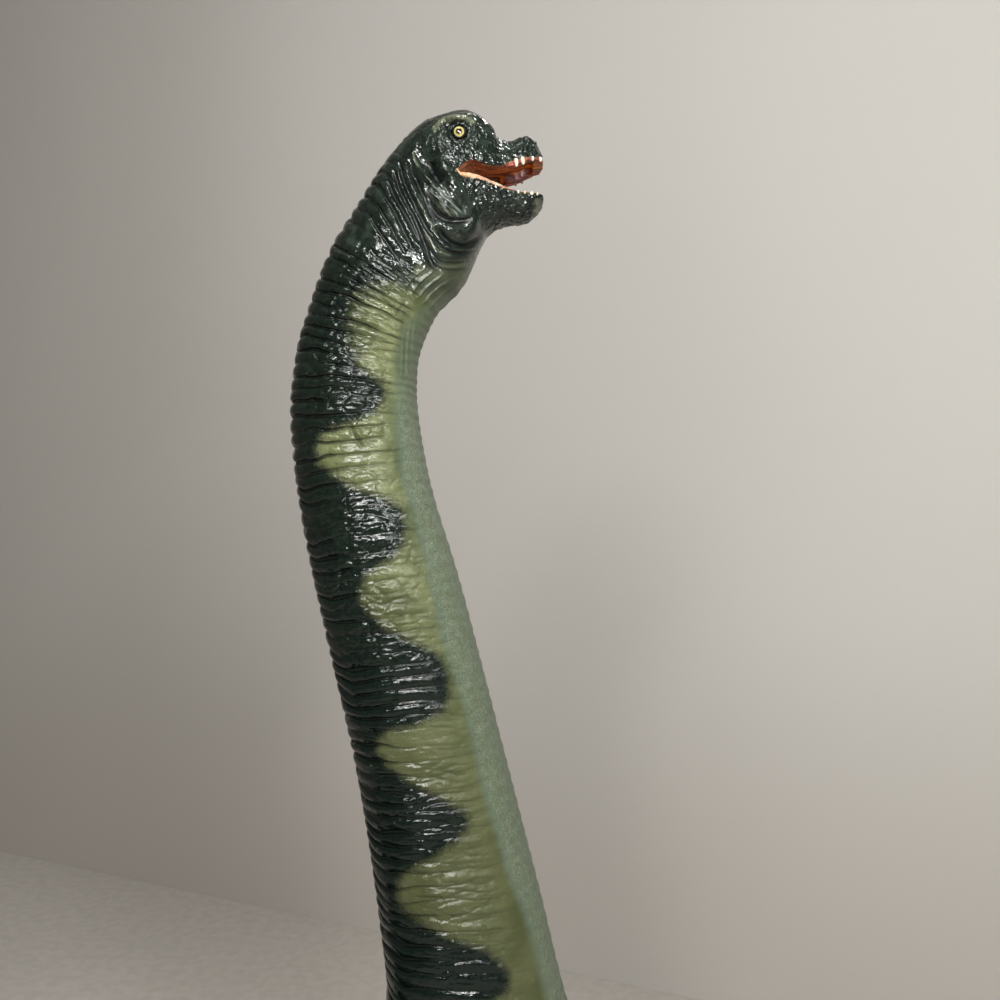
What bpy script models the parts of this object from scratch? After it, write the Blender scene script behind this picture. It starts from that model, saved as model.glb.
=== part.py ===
"""Long-necked toy dinosaur: vinyl mouldings that plug into a hollow torso.

The figure stands on four flat soles and looks along +X. Z is up, the ground is z = 0 and
the origin is the middle of the figure's footprint box. All lengths are metres.
"""

from collections import namedtuple
from math import cos, pi, radians, sin

import bmesh
import bpy
from mathutils import Matrix, Vector

# Stance
TORSO_LENGTH = 0.1423
TORSO_DEPTH = 0.0926
TORSO_WIDTH = 0.0750
CHEST_AHEAD_OF_ORIGIN = 0.1908
SHOULDER_HEIGHT = 0.1310
SEAM_GAP = 0.0003

# Neck, from the seam on the torso up to the nape
NECK_RISE = 0.1910
NECK_BASE_DEPTH = 0.0532
NECK_BASE_WIDTH = 0.0420
NECK_SET_BACK = 0.0300
NECK_SEAM_ABOVE_SHOULDER = 0.0060
NECK_WALL = 0.0032
NECK_BORE_SHARE = 0.72

# Head
HEAD_REACH = 0.0253
HEAD_DEPTH = 0.0276
HEAD_WIDTH = 0.0232

# Mouth
MOUTH_DEPTH = 0.0182
MOUTH_GAPE = 0.0080
LIP_THICKNESS = 0.0019
PALATE_RISE = 0.0022
JAW_HOLLOW = 0.0020
TONGUE_WIDTH = 0.0058
TONGUE_PLACE_SHARE = 0.46
TONGUE_REACH_SHARE = 0.34
TONGUE_HEIGHT_SHARE = 0.80
TOOTH_LENGTH = 0.0014
TOOTH_WIDTH = 0.0010
TOOTH_TIP_SHARE = 0.33
TOOTH_ROOT = 0.0006
TEETH_PER_SIDE = 6
FIRST_TOOTH_SHARE = 0.50
LAST_TOOTH_SHARE = 0.92

# Eyes
EYE_RADIUS = 0.0017
EYE_STANDOUT = 0.0009

# Tail
TAIL_LENGTH = 0.2100
TAIL_BASE_DEPTH = 0.0330
TAIL_BASE_WIDTH = 0.0340
TAIL_SEAM_HEIGHT = 0.0893

# Plugs and sockets
NECK_PLUG_LENGTH = 0.0130
NECK_PLUG_MARGIN = 0.0080
TAIL_PLUG_LENGTH = 0.0120
TAIL_PLUG_MARGIN = 0.0062
LEG_PEG_RADIUS = 0.0055
LEG_PEG_LENGTH = 0.0090
LEG_PEG_BACK_SHARE = 0.04
LEG_SEAT_FROM_MIDLINE = 0.0255
CUT_OVERRUN = 0.0040
WELD_DISTANCE = 0.000002

# Torso shell
TORSO_WALL = 0.0040
CAVITY_WIDTH = 0.0410

# Legs
FORELEG_HEIGHT = 0.1190
FORELEG_DEPTH = 0.0380
FORELEG_WIDTH = 0.0256
FORELEG_BEHIND_CHEST_SHARE = 0.3443
FORELEG_LEDGE_HEIGHT = 0.0700
FORELEG_STRIDE = 0.0090
HINDLEG_HEIGHT = 0.1090
HINDLEG_DEPTH = 0.0450
HINDLEG_WIDTH = 0.0280
HINDLEG_BEHIND_CHEST_SHARE = 0.9628
HINDLEG_LEDGE_HEIGHT = 0.0650
HINDLEG_STRIDE = 0.0110
STRIDE_EASE = 1.2
LEG_FROM_MIDLINE = 0.0250
NAIL_HEIGHT = 0.0062
NAIL_WIDTH = 0.0054
NAIL_STANDOUT = 0.0016
NAIL_MIDDLE_SHARE = 0.56

# Facets
SKIN_SIDES = 28
TORSO_SIDES = 28
TAIL_SIDES = 16
LEG_SIDES = 20
CAVITY_SIDES = 20
NECK_RINGS = 34
BORE_RINGS = 9
HEAD_RINGS = 24
TORSO_RINGS = 24
TAIL_RINGS = 20
LEG_RINGS = 17
CAVITY_FIRST_RING = 2
CAVITY_RING_STEP = 3

# Section shape: 2 is an ellipse, more is squarer
BACK_ROUNDNESS = 2.1
BELLY_SQUARENESS = 2.6
LEG_ROUNDNESS = 2.2

# Each station: forward, up, lean of the section in degrees, depth, width
NECK_SHARES = [
    (0.000, 0.000, 12, 1.000, 1.000),
    (-0.002, 0.094, -2, 0.744, 0.800),
    (-0.021, 0.207, -9, 0.669, 0.735),
    (-0.055, 0.372, -11, 0.609, 0.670),
    (-0.099, 0.553, -13, 0.586, 0.640),
    (-0.127, 0.664, -11, 0.549, 0.605),
    (-0.141, 0.759, -3, 0.526, 0.580),
    (-0.139, 0.821, 10, 0.504, 0.560),
    (-0.129, 0.866, 18, 0.489, 0.545),
    (-0.107, 0.920, 29, 0.508, 0.550),
    (-0.079, 0.958, 31, 0.538, 0.565),
    (-0.056, 1.000, 33, 0.519, 0.555),
]
HEAD_SHARES = [
    (0.117, 0.164, 44, 0.986, 0.985),
    (0.239, 0.285, 54, 1.000, 0.975),
    (0.374, 0.362, 63, 1.000, 0.930),
    (0.504, 0.389, 70, 0.971, 0.830),
    (0.613, 0.352, 73, 0.873, 0.715),
    (0.688, 0.283, 71, 0.739, 0.635),
    (0.777, 0.263, 73, 0.645, 0.600),
    (0.877, 0.300, 80, 0.609, 0.560),
    (0.943, 0.306, 84, 0.522, 0.480),
    (0.984, 0.294, 87, 0.384, 0.360),
    (1.000, 0.288, 88, 0.145, 0.140),
]
TORSO_SHARES = [
    (-0.211, 1.046, 12, 0.575, 0.560),
    (-0.222, 0.952, 22, 0.744, 0.690),
    (-0.260, 0.870, 29, 0.890, 0.790),
    (-0.323, 0.802, 37, 0.972, 0.867),
    (-0.408, 0.752, 45, 1.000, 0.920),
    (-0.531, 0.718, 55, 0.953, 0.960),
    (-0.664, 0.698, 65, 0.884, 1.000),
    (-0.815, 0.687, 76, 0.801, 1.000),
    (-0.959, 0.687, 83, 0.706, 0.933),
    (-1.093, 0.685, 84, 0.559, 0.760),
    (-1.209, 0.682, 80, 0.356, 0.453),
]
TAIL_SHARES = [
    (0.000, 0.000, 80, 1.000, 1.000),
    (-0.133, -0.057, 67, 0.752, 0.741),
    (-0.276, -0.115, 69, 0.570, 0.565),
    (-0.443, -0.175, 72, 0.418, 0.412),
    (-0.610, -0.220, 77, 0.297, 0.288),
    (-0.776, -0.249, 83, 0.200, 0.200),
    (-0.910, -0.256, 90, 0.127, 0.130),
    (-0.990, -0.250, 97, 0.062, 0.060),
    (-1.000, -0.249, 97, 0.024, 0.024),
]

# Each leg station: forward, up, depth, width
FORELEG_SHARES = [
    (0.02, 0.000, 0.66, 0.92),
    (0.03, 0.012, 0.73, 1.00),
    (0.02, 0.065, 0.69, 0.95),
    (-0.02, 0.135, 0.59, 0.84),
    (-0.04, 0.235, 0.55, 0.79),
    (-0.08, 0.350, 0.61, 0.82),
    (-0.12, 0.470, 0.72, 0.89),
    (-0.10, 0.600, 0.87, 0.97),
    (-0.04, 0.740, 1.00, 1.00),
    (-0.06, 0.860, 0.98, 0.93),
    (-0.12, 0.945, 0.74, 0.72),
    (-0.18, 0.990, 0.34, 0.38),
    (-0.20, 1.000, 0.10, 0.12),
]
HINDLEG_SHARES = [
    (0.04, 0.000, 0.59, 0.88),
    (0.05, 0.012, 0.65, 0.96),
    (0.04, 0.070, 0.61, 0.90),
    (-0.02, 0.145, 0.52, 0.78),
    (-0.06, 0.240, 0.49, 0.74),
    (-0.02, 0.350, 0.56, 0.79),
    (0.07, 0.480, 0.75, 0.89),
    (0.08, 0.610, 0.93, 0.97),
    (0.02, 0.740, 1.00, 1.00),
    (-0.02, 0.850, 0.93, 0.93),
    (-0.04, 0.935, 0.69, 0.72),
    (-0.06, 0.988, 0.34, 0.38),
    (-0.06, 1.000, 0.10, 0.12),
]

# Side outline of the open mouth from its corner: forward and up from the corner
UPPER_LIP_SHARES = [(0.00, 0.00), (0.33, 0.19), (0.66, 0.34), (0.98, 0.57), (1.30, 0.62)]
LOWER_LIP_SHARES = [(0.17, -0.14), (0.41, -0.30), (0.72, -0.46), (0.92, -0.45), (1.30, -0.36)]
MOUTH_CORNER_SHARES = (0.275, 0.245)

# Swells on the head: forward, up, out, reach, push
HEAD_SWELL_SHARES = [
    (0.28, 0.68, 0.34, 0.13, 0.055),
    (0.50, 0.60, 0.26, 0.12, 0.030),
    (0.86, 0.56, 0.15, 0.10, 0.045),
    (0.22, 0.04, 0.46, 0.19, 0.065),
    (-0.02, 0.32, 0.46, 0.15, -0.070),
    (0.34, -0.14, 0.36, 0.15, 0.045),
]
EYE_SHARES = (0.268, 0.553)

# Swells on a leg: forward, up, out, reach, push
FORELEG_SWELL_SHARES = [
    (-0.48, 0.50, 0.10, 0.30, 0.050),
    (0.34, 0.76, 0.50, 0.42, 0.050),
    (0.20, 0.27, 0.00, 0.26, 0.030),
]
HINDLEG_SWELL_SHARES = [
    (0.48, 0.47, 0.10, 0.30, 0.055),
    (-0.30, 0.78, 0.50, 0.42, 0.045),
    (-0.34, 0.22, 0.00, 0.24, 0.035),
]
NAIL_TURNS_DEG = {"foreleg": [-44, -14, 16], "hindleg": [-52, -22, 8, 38]}

# Colours and gloss: red, green, blue, roughness
SKIN_GREEN = (0.075, 0.105, 0.062, 0.42)
EYE_AMBER = (0.62, 0.50, 0.12, 0.15)


def clear_scene():
    for found in list(bpy.data.objects):
        bpy.data.objects.remove(found, do_unlink=True)


def make_material(name, look):
    red, green, blue, roughness = look
    material = bpy.data.materials.new(name)
    material.use_nodes = True
    shader = material.node_tree.nodes["Principled BSDF"]
    shader.inputs["Base Color"].default_value = (red, green, blue, 1)
    shader.inputs["Roughness"].default_value = roughness
    shader.inputs["Metallic"].default_value = 0
    return material


def add_object(name, shape, material=None):
    """Turn a bmesh into a scene object whose faces point out."""
    bmesh.ops.recalc_face_normals(shape, faces=shape.faces[:])
    mesh = bpy.data.meshes.new(name)
    shape.to_mesh(mesh)
    shape.free()
    piece = bpy.data.objects.new(name, mesh)
    bpy.context.scene.collection.objects.link(piece)
    if material:
        mesh.materials.append(material)
        mesh.shade_smooth()
    else:
        piece.hide_render = True
        piece.display_type = "WIRE"
    return piece


def apply_boolean(piece, tool, operation):
    """Cut or join a tool object into a piece for good, and drop the tool."""
    modifier = piece.modifiers.new("Tool", "BOOLEAN")
    modifier.operation = operation
    modifier.object = tool
    graph = bpy.context.evaluated_depsgraph_get()
    mesh = bpy.data.meshes.new_from_object(piece.evaluated_get(graph))
    shape = bmesh.new()
    shape.from_mesh(mesh)
    bmesh.ops.remove_doubles(shape, verts=shape.verts, dist=WELD_DISTANCE)
    shape.to_mesh(mesh)
    shape.free()
    piece.modifiers.remove(modifier)
    piece.data = mesh
    bpy.data.objects.remove(tool, do_unlink=True)


def smooth_stations(stations, count):
    """Even stations along a smooth curve through hand-placed ones."""
    last = len(stations) - 1
    result = []
    for step in range(count + 1):
        place = last * step / count
        index = min(int(place), last - 1)
        part = place - index
        near = [stations[min(max(index + shift, 0), last)] for shift in (-1, 0, 1, 2)]
        blended = []
        for before, start, end, after in zip(*near):
            blended.append(0.5 * (
                2 * start + (end - before) * part
                + (2 * before - 5 * start + 4 * end - after) * part ** 2
                + (3 * start - before - 3 * end + after) * part ** 3))
        result.append(tuple(blended))
    return result


def oval(turn, squareness):
    """A point on a unit oval: the share toward the back line and the share sideways."""
    toward = abs(cos(turn)) ** (2 / squareness)
    aside = abs(sin(turn)) ** (2 / squareness)
    return toward if cos(turn) > 0 else -toward, aside if sin(turn) > 0 else -aside


def section_ring(forward, up, lean, depth, width, sides, aside=0, squareness=None):
    """One closed section: its back point leans from straight behind (0) to straight up (90)."""
    back_way = Vector((-cos(radians(lean)), 0, sin(radians(lean))))
    ring = []
    for side in range(sides):
        turn = 2 * pi * side / sides
        shape = squareness or (BACK_ROUNDNESS if cos(turn) > 0 else BELLY_SQUARENESS)
        toward, out = oval(turn, shape)
        centre = Vector((forward, aside, up))
        ring.append(centre + back_way * toward * depth / 2 + Vector((0, out * width / 2, 0)))
    return ring


def loft(rings):
    """Skin a row of rings and close both ends."""
    shape = bmesh.new()
    rows = [[shape.verts.new(point) for point in ring] for ring in rings]
    for low, high in zip(rows, rows[1:]):
        for side in range(len(low)):
            after = (side + 1) % len(low)
            shape.faces.new((low[side], low[after], high[after]))
            shape.faces.new((low[side], high[after], high[side]))
    shape.faces.new(rows[0][::-1])
    shape.faces.new(rows[-1])
    return shape


def swell(shape, places):
    """Push the skin out, or in, round each place on both flanks."""
    shape.normal_update()
    moves = {}
    for vertex in shape.verts:
        push = 0
        for place, reach, amount in places:
            for flank in (1, -1):
                centre = Vector((place.x, place.y * flank, place.z))
                apart = (vertex.co - centre).length / reach
                push += amount * max(0, 1 - apart * apart) ** 2
        moves[vertex] = vertex.normal * push
    for vertex, move in moves.items():
        vertex.co += move


def chest_x():
    return CHEST_AHEAD_OF_ORIGIN


def neck_seam():
    """Centre of the seam between neck and torso, its lean, depth and width."""
    forward = chest_x() - NECK_SET_BACK
    up = SHOULDER_HEIGHT + NECK_SEAM_ABOVE_SHOULDER
    return forward, up, NECK_SHARES[0][2], NECK_BASE_DEPTH, NECK_BASE_WIDTH


def nape():
    """Centre of the neck's last station, where the head begins."""
    forward, up = neck_seam()[:2]
    return forward + NECK_SHARES[-1][0] * NECK_RISE, up + NECK_SHARES[-1][1] * NECK_RISE


def neck_stations():
    forward, up = neck_seam()[:2]
    return [(forward + ahead * NECK_RISE, up + rise * NECK_RISE, lean,
             deep * NECK_BASE_DEPTH, wide * NECK_BASE_WIDTH)
            for ahead, rise, lean, deep, wide in NECK_SHARES]


def head_point(ahead, rise):
    forward, up = nape()
    return forward + ahead * HEAD_REACH, up + rise * HEAD_REACH


def head_stations():
    return [(*head_point(ahead, rise), lean, deep * HEAD_DEPTH, wide * HEAD_WIDTH)
            for ahead, rise, lean, deep, wide in HEAD_SHARES]


def torso_stations():
    """Torso sections from the neck seam to the tail seam, which both seams set."""
    stations = []
    for ahead, rise, lean, deep, wide in TORSO_SHARES:
        stations.append((chest_x() + ahead * TORSO_LENGTH, rise * SHOULDER_HEIGHT, lean,
                         deep * TORSO_DEPTH, wide * TORSO_WIDTH))
    stations[0] = neck_seam()
    stations[-1] = tail_seam()
    return stations


def tail_seam():
    forward = chest_x() + TORSO_SHARES[-1][0] * TORSO_LENGTH
    return forward, TAIL_SEAM_HEIGHT, TORSO_SHARES[-1][2], TAIL_BASE_DEPTH, TAIL_BASE_WIDTH


def along_axis(station, distance):
    """A section moved along its own axis, forward and up when positive."""
    forward, up, lean, depth, width = station
    return (forward + distance * sin(radians(lean)), up + distance * cos(radians(lean)),
            lean, depth, width)


def inset(station, margin):
    forward, up, lean, depth, width = station
    return forward, up, lean, depth - 2 * margin, width - 2 * margin


def head_and_neck_rings():
    """Bore, plug, shoulder and skin as one row of rings, from the bore's end to the snout."""
    skin = smooth_stations(neck_stations() + head_stations(), NECK_RINGS + HEAD_RINGS)
    skin[0] = along_axis(skin[0], SEAM_GAP)
    plug_top = inset(skin[0], NECK_PLUG_MARGIN)
    plug_end = along_axis(plug_top, -NECK_PLUG_LENGTH)
    bore_end = round(NECK_RINGS * NECK_BORE_SHARE)
    bore = [inset(skin[round(bore_end * step / BORE_RINGS)], NECK_WALL)
            for step in range(BORE_RINGS, 0, -1)]
    plug_bore = [inset(plug_top, NECK_WALL), inset(plug_end, NECK_WALL)]
    return [section_ring(*station, SKIN_SIDES)
            for station in bore + plug_bore + [plug_end, plug_top] + skin]


def mouth_cutter():
    """The open wedge between the jaws, through both cheeks."""
    corner_x, corner_z = head_point(*MOUTH_CORNER_SHARES)
    outline = [(corner_x + ahead * MOUTH_DEPTH, corner_z + rise * MOUTH_GAPE)
               for ahead, rise in UPPER_LIP_SHARES + LOWER_LIP_SHARES[::-1]]
    rings = [[Vector((forward, flank * HEAD_WIDTH, up)) for forward, up in outline]
             for flank in (-1, 1)]
    return add_object("mouth_gap", loft(rings))


def ball(name, centre, radii, segments=16, rings=10, material=None):
    """A stretched ball."""
    shape = bmesh.new()
    size = Matrix.Diagonal((*radii, 1))
    bmesh.ops.create_uvsphere(shape, u_segments=segments, v_segments=rings, radius=1,
                              matrix=Matrix.Translation(centre) @ size)
    return add_object(name, shape, material)


def lip_height(table, ahead):
    """How high a lip runs at a share of the mouth's depth ahead of the corner."""
    corner_z = head_point(*MOUTH_CORNER_SHARES)[1]
    for (start, low), (end, high) in zip(table, table[1:]):
        if ahead <= end:
            part = (ahead - start) / (end - start)
            return corner_z + (low + (high - low) * part) * MOUTH_GAPE
    return corner_z + table[-1][1] * MOUTH_GAPE


def mouth_hollow_cutter():
    """Vault of the palate and trough of the lower jaw, one lip thickness inside the skin."""
    corner_x, corner_z = head_point(*MOUTH_CORNER_SHARES)
    stations = [inset(station, LIP_THICKNESS)
                for station in smooth_stations(head_stations()[:-1], HEAD_RINGS)]
    hollow = add_object("mouth_hollow",
                        loft([section_ring(*station, CAVITY_SIDES) for station in stations]))
    roof = [(ahead, rise, PALATE_RISE) for ahead, rise in UPPER_LIP_SHARES[1:-1]]
    floor = [(ahead, rise, -JAW_HOLLOW) for ahead, rise in LOWER_LIP_SHARES[:-1]]
    outline = [(corner_x + ahead * MOUTH_DEPTH, corner_z + rise * MOUTH_GAPE + lift)
               for ahead, rise, lift in roof + floor[::-1]]
    rings = [[Vector((forward, flank * HEAD_WIDTH, up)) for forward, up in outline]
             for flank in (-1, 1)]
    apply_boolean(hollow, add_object("mouth_band", loft(rings)), "INTERSECT")
    return hollow


def tongue():
    """A low blunt tongue lying in the lower jaw."""
    corner_x = head_point(*MOUTH_CORNER_SHARES)[0]
    bottom = lip_height(LOWER_LIP_SHARES, TONGUE_PLACE_SHARE) - JAW_HOLLOW
    radii = (TONGUE_REACH_SHARE * MOUTH_DEPTH, TONGUE_WIDTH / 2, TONGUE_HEIGHT_SHARE * JAW_HOLLOW)
    return ball("tongue", (corner_x + TONGUE_PLACE_SHARE * MOUTH_DEPTH, 0, bottom), radii)


def half_width_at(forward, up):
    """How far the head's skin lies from the midline at a place in the side view."""
    best = None
    for station in smooth_stations(head_stations(), HEAD_RINGS * 4):
        ahead, high, lean, depth, width = station
        slope = radians(lean)
        off_plane = abs((forward - ahead) * sin(slope) + (up - high) * cos(slope))
        toward = ((up - high) * sin(slope) - (forward - ahead) * cos(slope)) / (depth / 2)
        if best is None or off_plane < best[0]:
            squareness = BACK_ROUNDNESS if toward > 0 else BELLY_SQUARENESS
            across = max(0, 1 - abs(toward) ** squareness) ** (1 / squareness)
            best = (off_plane, across * width / 2)
    return best[1]


def tooth_row(table, way, name):
    """Blunt cones along both sides of one jaw, each rooted in its lip."""
    corner_x = head_point(*MOUTH_CORNER_SHARES)[0]
    spread = LAST_TOOTH_SHARE - FIRST_TOOTH_SHARE
    shape = bmesh.new()
    for count in range(TEETH_PER_SIDE):
        ahead = FIRST_TOOTH_SHARE + spread * count / (TEETH_PER_SIDE - 1)
        forward = corner_x + ahead * MOUTH_DEPTH
        lip = lip_height(table, ahead)
        out = half_width_at(forward, lip) - LIP_THICKNESS / 2
        length = TOOTH_LENGTH + TOOTH_ROOT
        for flank in (1, -1):
            middle = Vector((forward, flank * out, lip - way * (TOOTH_ROOT - length / 2)))
            bmesh.ops.create_cone(shape, cap_ends=True, segments=6, radius1=TOOTH_WIDTH / 2,
                                  radius2=TOOTH_TIP_SHARE * TOOTH_WIDTH / 2, depth=length,
                                  matrix=Matrix.Translation(middle)
                                  @ Matrix.Rotation(pi if way < 0 else 0, 4, "X"))
    return add_object(name, shape)


def eye_place(flank):
    forward, up = head_point(*EYE_SHARES)
    out = half_width_at(forward, up) + EYE_STANDOUT - EYE_RADIUS
    return Vector((forward, flank * out, up))


def make_head_and_neck(material):
    shape = loft(head_and_neck_rings())
    places = []
    for ahead, rise, out, reach, push in HEAD_SWELL_SHARES:
        forward, up = head_point(ahead, rise)
        places.append((Vector((forward, out * HEAD_WIDTH, up)), reach * HEAD_DEPTH,
                       push * HEAD_DEPTH))
    swell(shape, places)
    piece = add_object("head_and_neck", shape, material)
    apply_boolean(piece, mouth_cutter(), "DIFFERENCE")
    apply_boolean(piece, mouth_hollow_cutter(), "DIFFERENCE")
    apply_boolean(piece, tongue(), "UNION")
    apply_boolean(piece, tooth_row(UPPER_LIP_SHARES, -1, "upper_teeth"), "UNION")
    apply_boolean(piece, tooth_row(LOWER_LIP_SHARES, 1, "lower_teeth"), "UNION")
    for flank in (1, -1):
        radius = EYE_RADIUS + SEAM_GAP
        apply_boolean(piece, ball("eye_socket", eye_place(flank), (radius,) * 3), "DIFFERENCE")
    return piece


def make_eye(name, flank, material):
    return ball(name, eye_place(flank), (EYE_RADIUS,) * 3, 12, 8, material)


def make_cavity():
    stations = smooth_stations(torso_stations(), TORSO_RINGS)
    rings = []
    for forward, up, lean, depth, width in stations[CAVITY_FIRST_RING:-1:CAVITY_RING_STEP]:
        hollow_width = min(CAVITY_WIDTH, width - 2 * TORSO_WALL)
        rings.append(section_ring(forward, up, lean, depth - 2 * TORSO_WALL, hollow_width,
                                  CAVITY_SIDES))
    return add_object("cavity", loft(rings))


def socket_cutter(seam, margin, out, length, sides):
    """The hole that a plug passes, from outside the seam (out is 1 or -1) into the cavity."""
    hole = inset(seam, margin - SEAM_GAP)
    rings = [section_ring(*along_axis(hole, out * distance), sides)
             for distance in (CUT_OVERRUN, -length)]
    return add_object("socket", loft(rings))


LegSizes = namedtuple("LegSizes", "table swells height depth width middle ledge stride")


def leg_sizes(kind):
    if kind == "foreleg":
        middle = chest_x() - FORELEG_BEHIND_CHEST_SHARE * TORSO_LENGTH
        return LegSizes(FORELEG_SHARES, FORELEG_SWELL_SHARES, FORELEG_HEIGHT, FORELEG_DEPTH,
                        FORELEG_WIDTH, middle, FORELEG_LEDGE_HEIGHT, FORELEG_STRIDE)
    middle = chest_x() - HINDLEG_BEHIND_CHEST_SHARE * TORSO_LENGTH
    return LegSizes(HINDLEG_SHARES, HINDLEG_SWELL_SHARES, HINDLEG_HEIGHT, HINDLEG_DEPTH,
                    HINDLEG_WIDTH, middle, HINDLEG_LEDGE_HEIGHT, HINDLEG_STRIDE)


def leg_shape(kind, flank, step, grow):
    """A leg's skin, grown by a clearance where it is used as a cutter."""
    leg = leg_sizes(kind)
    stations = []
    for ahead, rise, deep, wide in leg.table:
        forward = leg.middle + ahead * leg.depth + step * leg.stride * (1 - rise) ** STRIDE_EASE
        stations.append((forward, rise * (leg.height + grow), deep, wide))
    rings = []
    for forward, up, deep, wide in smooth_stations(stations, LEG_RINGS):
        rings.append(section_ring(forward, max(up, 0), 0, deep * leg.depth + 2 * grow,
                                  wide * leg.width + 2 * grow, LEG_SIDES,
                                  flank * LEG_FROM_MIDLINE, LEG_ROUNDNESS))
    shape = loft(rings)
    places = []
    for ahead, rise, out, reach, push in leg.swells:
        forward = leg.middle + ahead * leg.depth + step * leg.stride * (1 - rise)
        place = Vector((forward, LEG_FROM_MIDLINE + out * leg.width, rise * leg.height))
        places.append((place, reach * leg.depth, push * leg.depth))
    swell(shape, places)
    return shape


def seat_block(kind, flank, clearance):
    """The block that takes a leg's inner side off at its flat seat, above the ledge."""
    leg = leg_sizes(kind)
    inner = LEG_SEAT_FROM_MIDLINE + clearance
    tall = leg.height - leg.ledge + CUT_OVERRUN
    low = leg.ledge + SEAM_GAP - clearance
    shape = bmesh.new()
    bmesh.ops.create_cube(shape, size=1)
    bmesh.ops.scale(shape, vec=(2 * leg.depth, inner, tall), verts=shape.verts)
    place = Vector((leg.middle, flank * inner / 2, low + tall / 2))
    bmesh.ops.translate(shape, vec=place, verts=shape.verts)
    return add_object("seat", shape)


def peg(kind, flank, grow, name):
    """The round peg on a leg's seat, or the hole for it, rooted past the seat."""
    leg = leg_sizes(kind)
    length = LEG_PEG_LENGTH + CUT_OVERRUN
    shape = bmesh.new()
    bmesh.ops.create_cone(shape, cap_ends=True, segments=16, radius1=LEG_PEG_RADIUS + grow,
                          radius2=LEG_PEG_RADIUS + grow, depth=length)
    bmesh.ops.rotate(shape, matrix=Matrix.Rotation(pi / 2, 3, "X"), verts=shape.verts)
    inner = LEG_SEAT_FROM_MIDLINE - LEG_PEG_LENGTH
    place = Vector((leg.middle - LEG_PEG_BACK_SHARE * leg.depth, flank * (inner + length / 2),
                    (leg.ledge + leg.height) / 2))
    bmesh.ops.translate(shape, vec=place, verts=shape.verts)
    return add_object(name, shape)


def leg_cutter(kind, flank, step):
    cutter = add_object("leg_recess", leg_shape(kind, flank, step, SEAM_GAP))
    apply_boolean(cutter, seat_block(kind, flank, 0), "DIFFERENCE")
    return cutter


def add_nails(piece, kind, flank, step):
    """Blunt nails round the front of the foot."""
    leg = leg_sizes(kind)
    ahead, rise, deep, wide = leg.table[2]
    centre_x = leg.middle + ahead * leg.depth + step * leg.stride
    for angle in NAIL_TURNS_DEG[kind]:
        turn = radians(angle) * flank
        place = Vector((centre_x + cos(turn) * deep * leg.depth / 2,
                        flank * LEG_FROM_MIDLINE + sin(turn) * wide * leg.width / 2,
                        NAIL_MIDDLE_SHARE * NAIL_HEIGHT))
        shape = bmesh.new()
        facing = Matrix.Translation(place) @ Matrix.Rotation(turn, 4, "Z")
        size = Matrix.Diagonal((NAIL_STANDOUT, NAIL_WIDTH / 2, NAIL_HEIGHT / 2, 1))
        bmesh.ops.create_uvsphere(shape, u_segments=8, v_segments=6, radius=1,
                                  matrix=facing @ size)
        apply_boolean(piece, add_object("nail", shape), "UNION")


def make_leg(name, kind, flank, step, material):
    piece = add_object(name, leg_shape(kind, flank, step, 0), material)
    apply_boolean(piece, seat_block(kind, flank, SEAM_GAP), "DIFFERENCE")
    apply_boolean(piece, peg(kind, flank, 0, "peg"), "UNION")
    add_nails(piece, kind, flank, step)
    return piece


def make_torso(legs, material):
    rings = [section_ring(*station, TORSO_SIDES)
             for station in smooth_stations(torso_stations(), TORSO_RINGS)]
    piece = add_object("torso", loft(rings), material)
    apply_boolean(piece, make_cavity(), "DIFFERENCE")
    neck_socket = socket_cutter(neck_seam(), NECK_PLUG_MARGIN, 1, NECK_PLUG_LENGTH, SKIN_SIDES)
    apply_boolean(piece, neck_socket, "DIFFERENCE")
    tail_socket = socket_cutter(tail_seam(), TAIL_PLUG_MARGIN, -1,
                                TAIL_PLUG_LENGTH + SEAM_GAP, TAIL_SIDES)
    apply_boolean(piece, tail_socket, "DIFFERENCE")
    for name, kind, flank, step in legs:
        apply_boolean(piece, leg_cutter(kind, flank, step), "DIFFERENCE")
        apply_boolean(piece, peg(kind, flank, SEAM_GAP, "peg_hole"), "DIFFERENCE")
    return piece


def make_tail(material):
    seam = tail_seam()
    stations = [(seam[0] + ahead * TAIL_LENGTH, seam[1] + rise * TAIL_LENGTH, lean,
                 deep * TAIL_BASE_DEPTH, wide * TAIL_BASE_WIDTH)
                for ahead, rise, lean, deep, wide in TAIL_SHARES]
    skin = smooth_stations(stations, TAIL_RINGS)
    skin[0] = along_axis(skin[0], -SEAM_GAP)
    plug_top = inset(skin[0], TAIL_PLUG_MARGIN)
    plug_end = along_axis(plug_top, TAIL_PLUG_LENGTH)
    rings = [section_ring(*station, TAIL_SIDES) for station in [plug_end, plug_top] + skin]
    return add_object("tail", loft(rings), material)


def build():
    clear_scene()
    legs = [
        ("foreleg_right", "foreleg", -1, 1),
        ("foreleg_left", "foreleg", 1, -1),
        ("hindleg_right", "hindleg", -1, -1),
        ("hindleg_left", "hindleg", 1, 1),
    ]
    make_head_and_neck(make_material("head_and_neck_vinyl", SKIN_GREEN))
    make_torso(legs, make_material("torso_vinyl", SKIN_GREEN))
    make_tail(make_material("tail_vinyl", SKIN_GREEN))
    for name, kind, flank, step in legs:
        make_leg(name, kind, flank, step, make_material(name + "_vinyl", SKIN_GREEN))
    for name, flank in (("eye_right", -1), ("eye_left", 1)):
        make_eye(name, flank, make_material(name + "_gloss", EYE_AMBER))


build()
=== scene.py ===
"""Looks of the long-necked toy dinosaur: folded skin, sprayed flanks, open mouth, bead eyes."""
from itertools import product
from math import cos, pi, radians, sin

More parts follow.
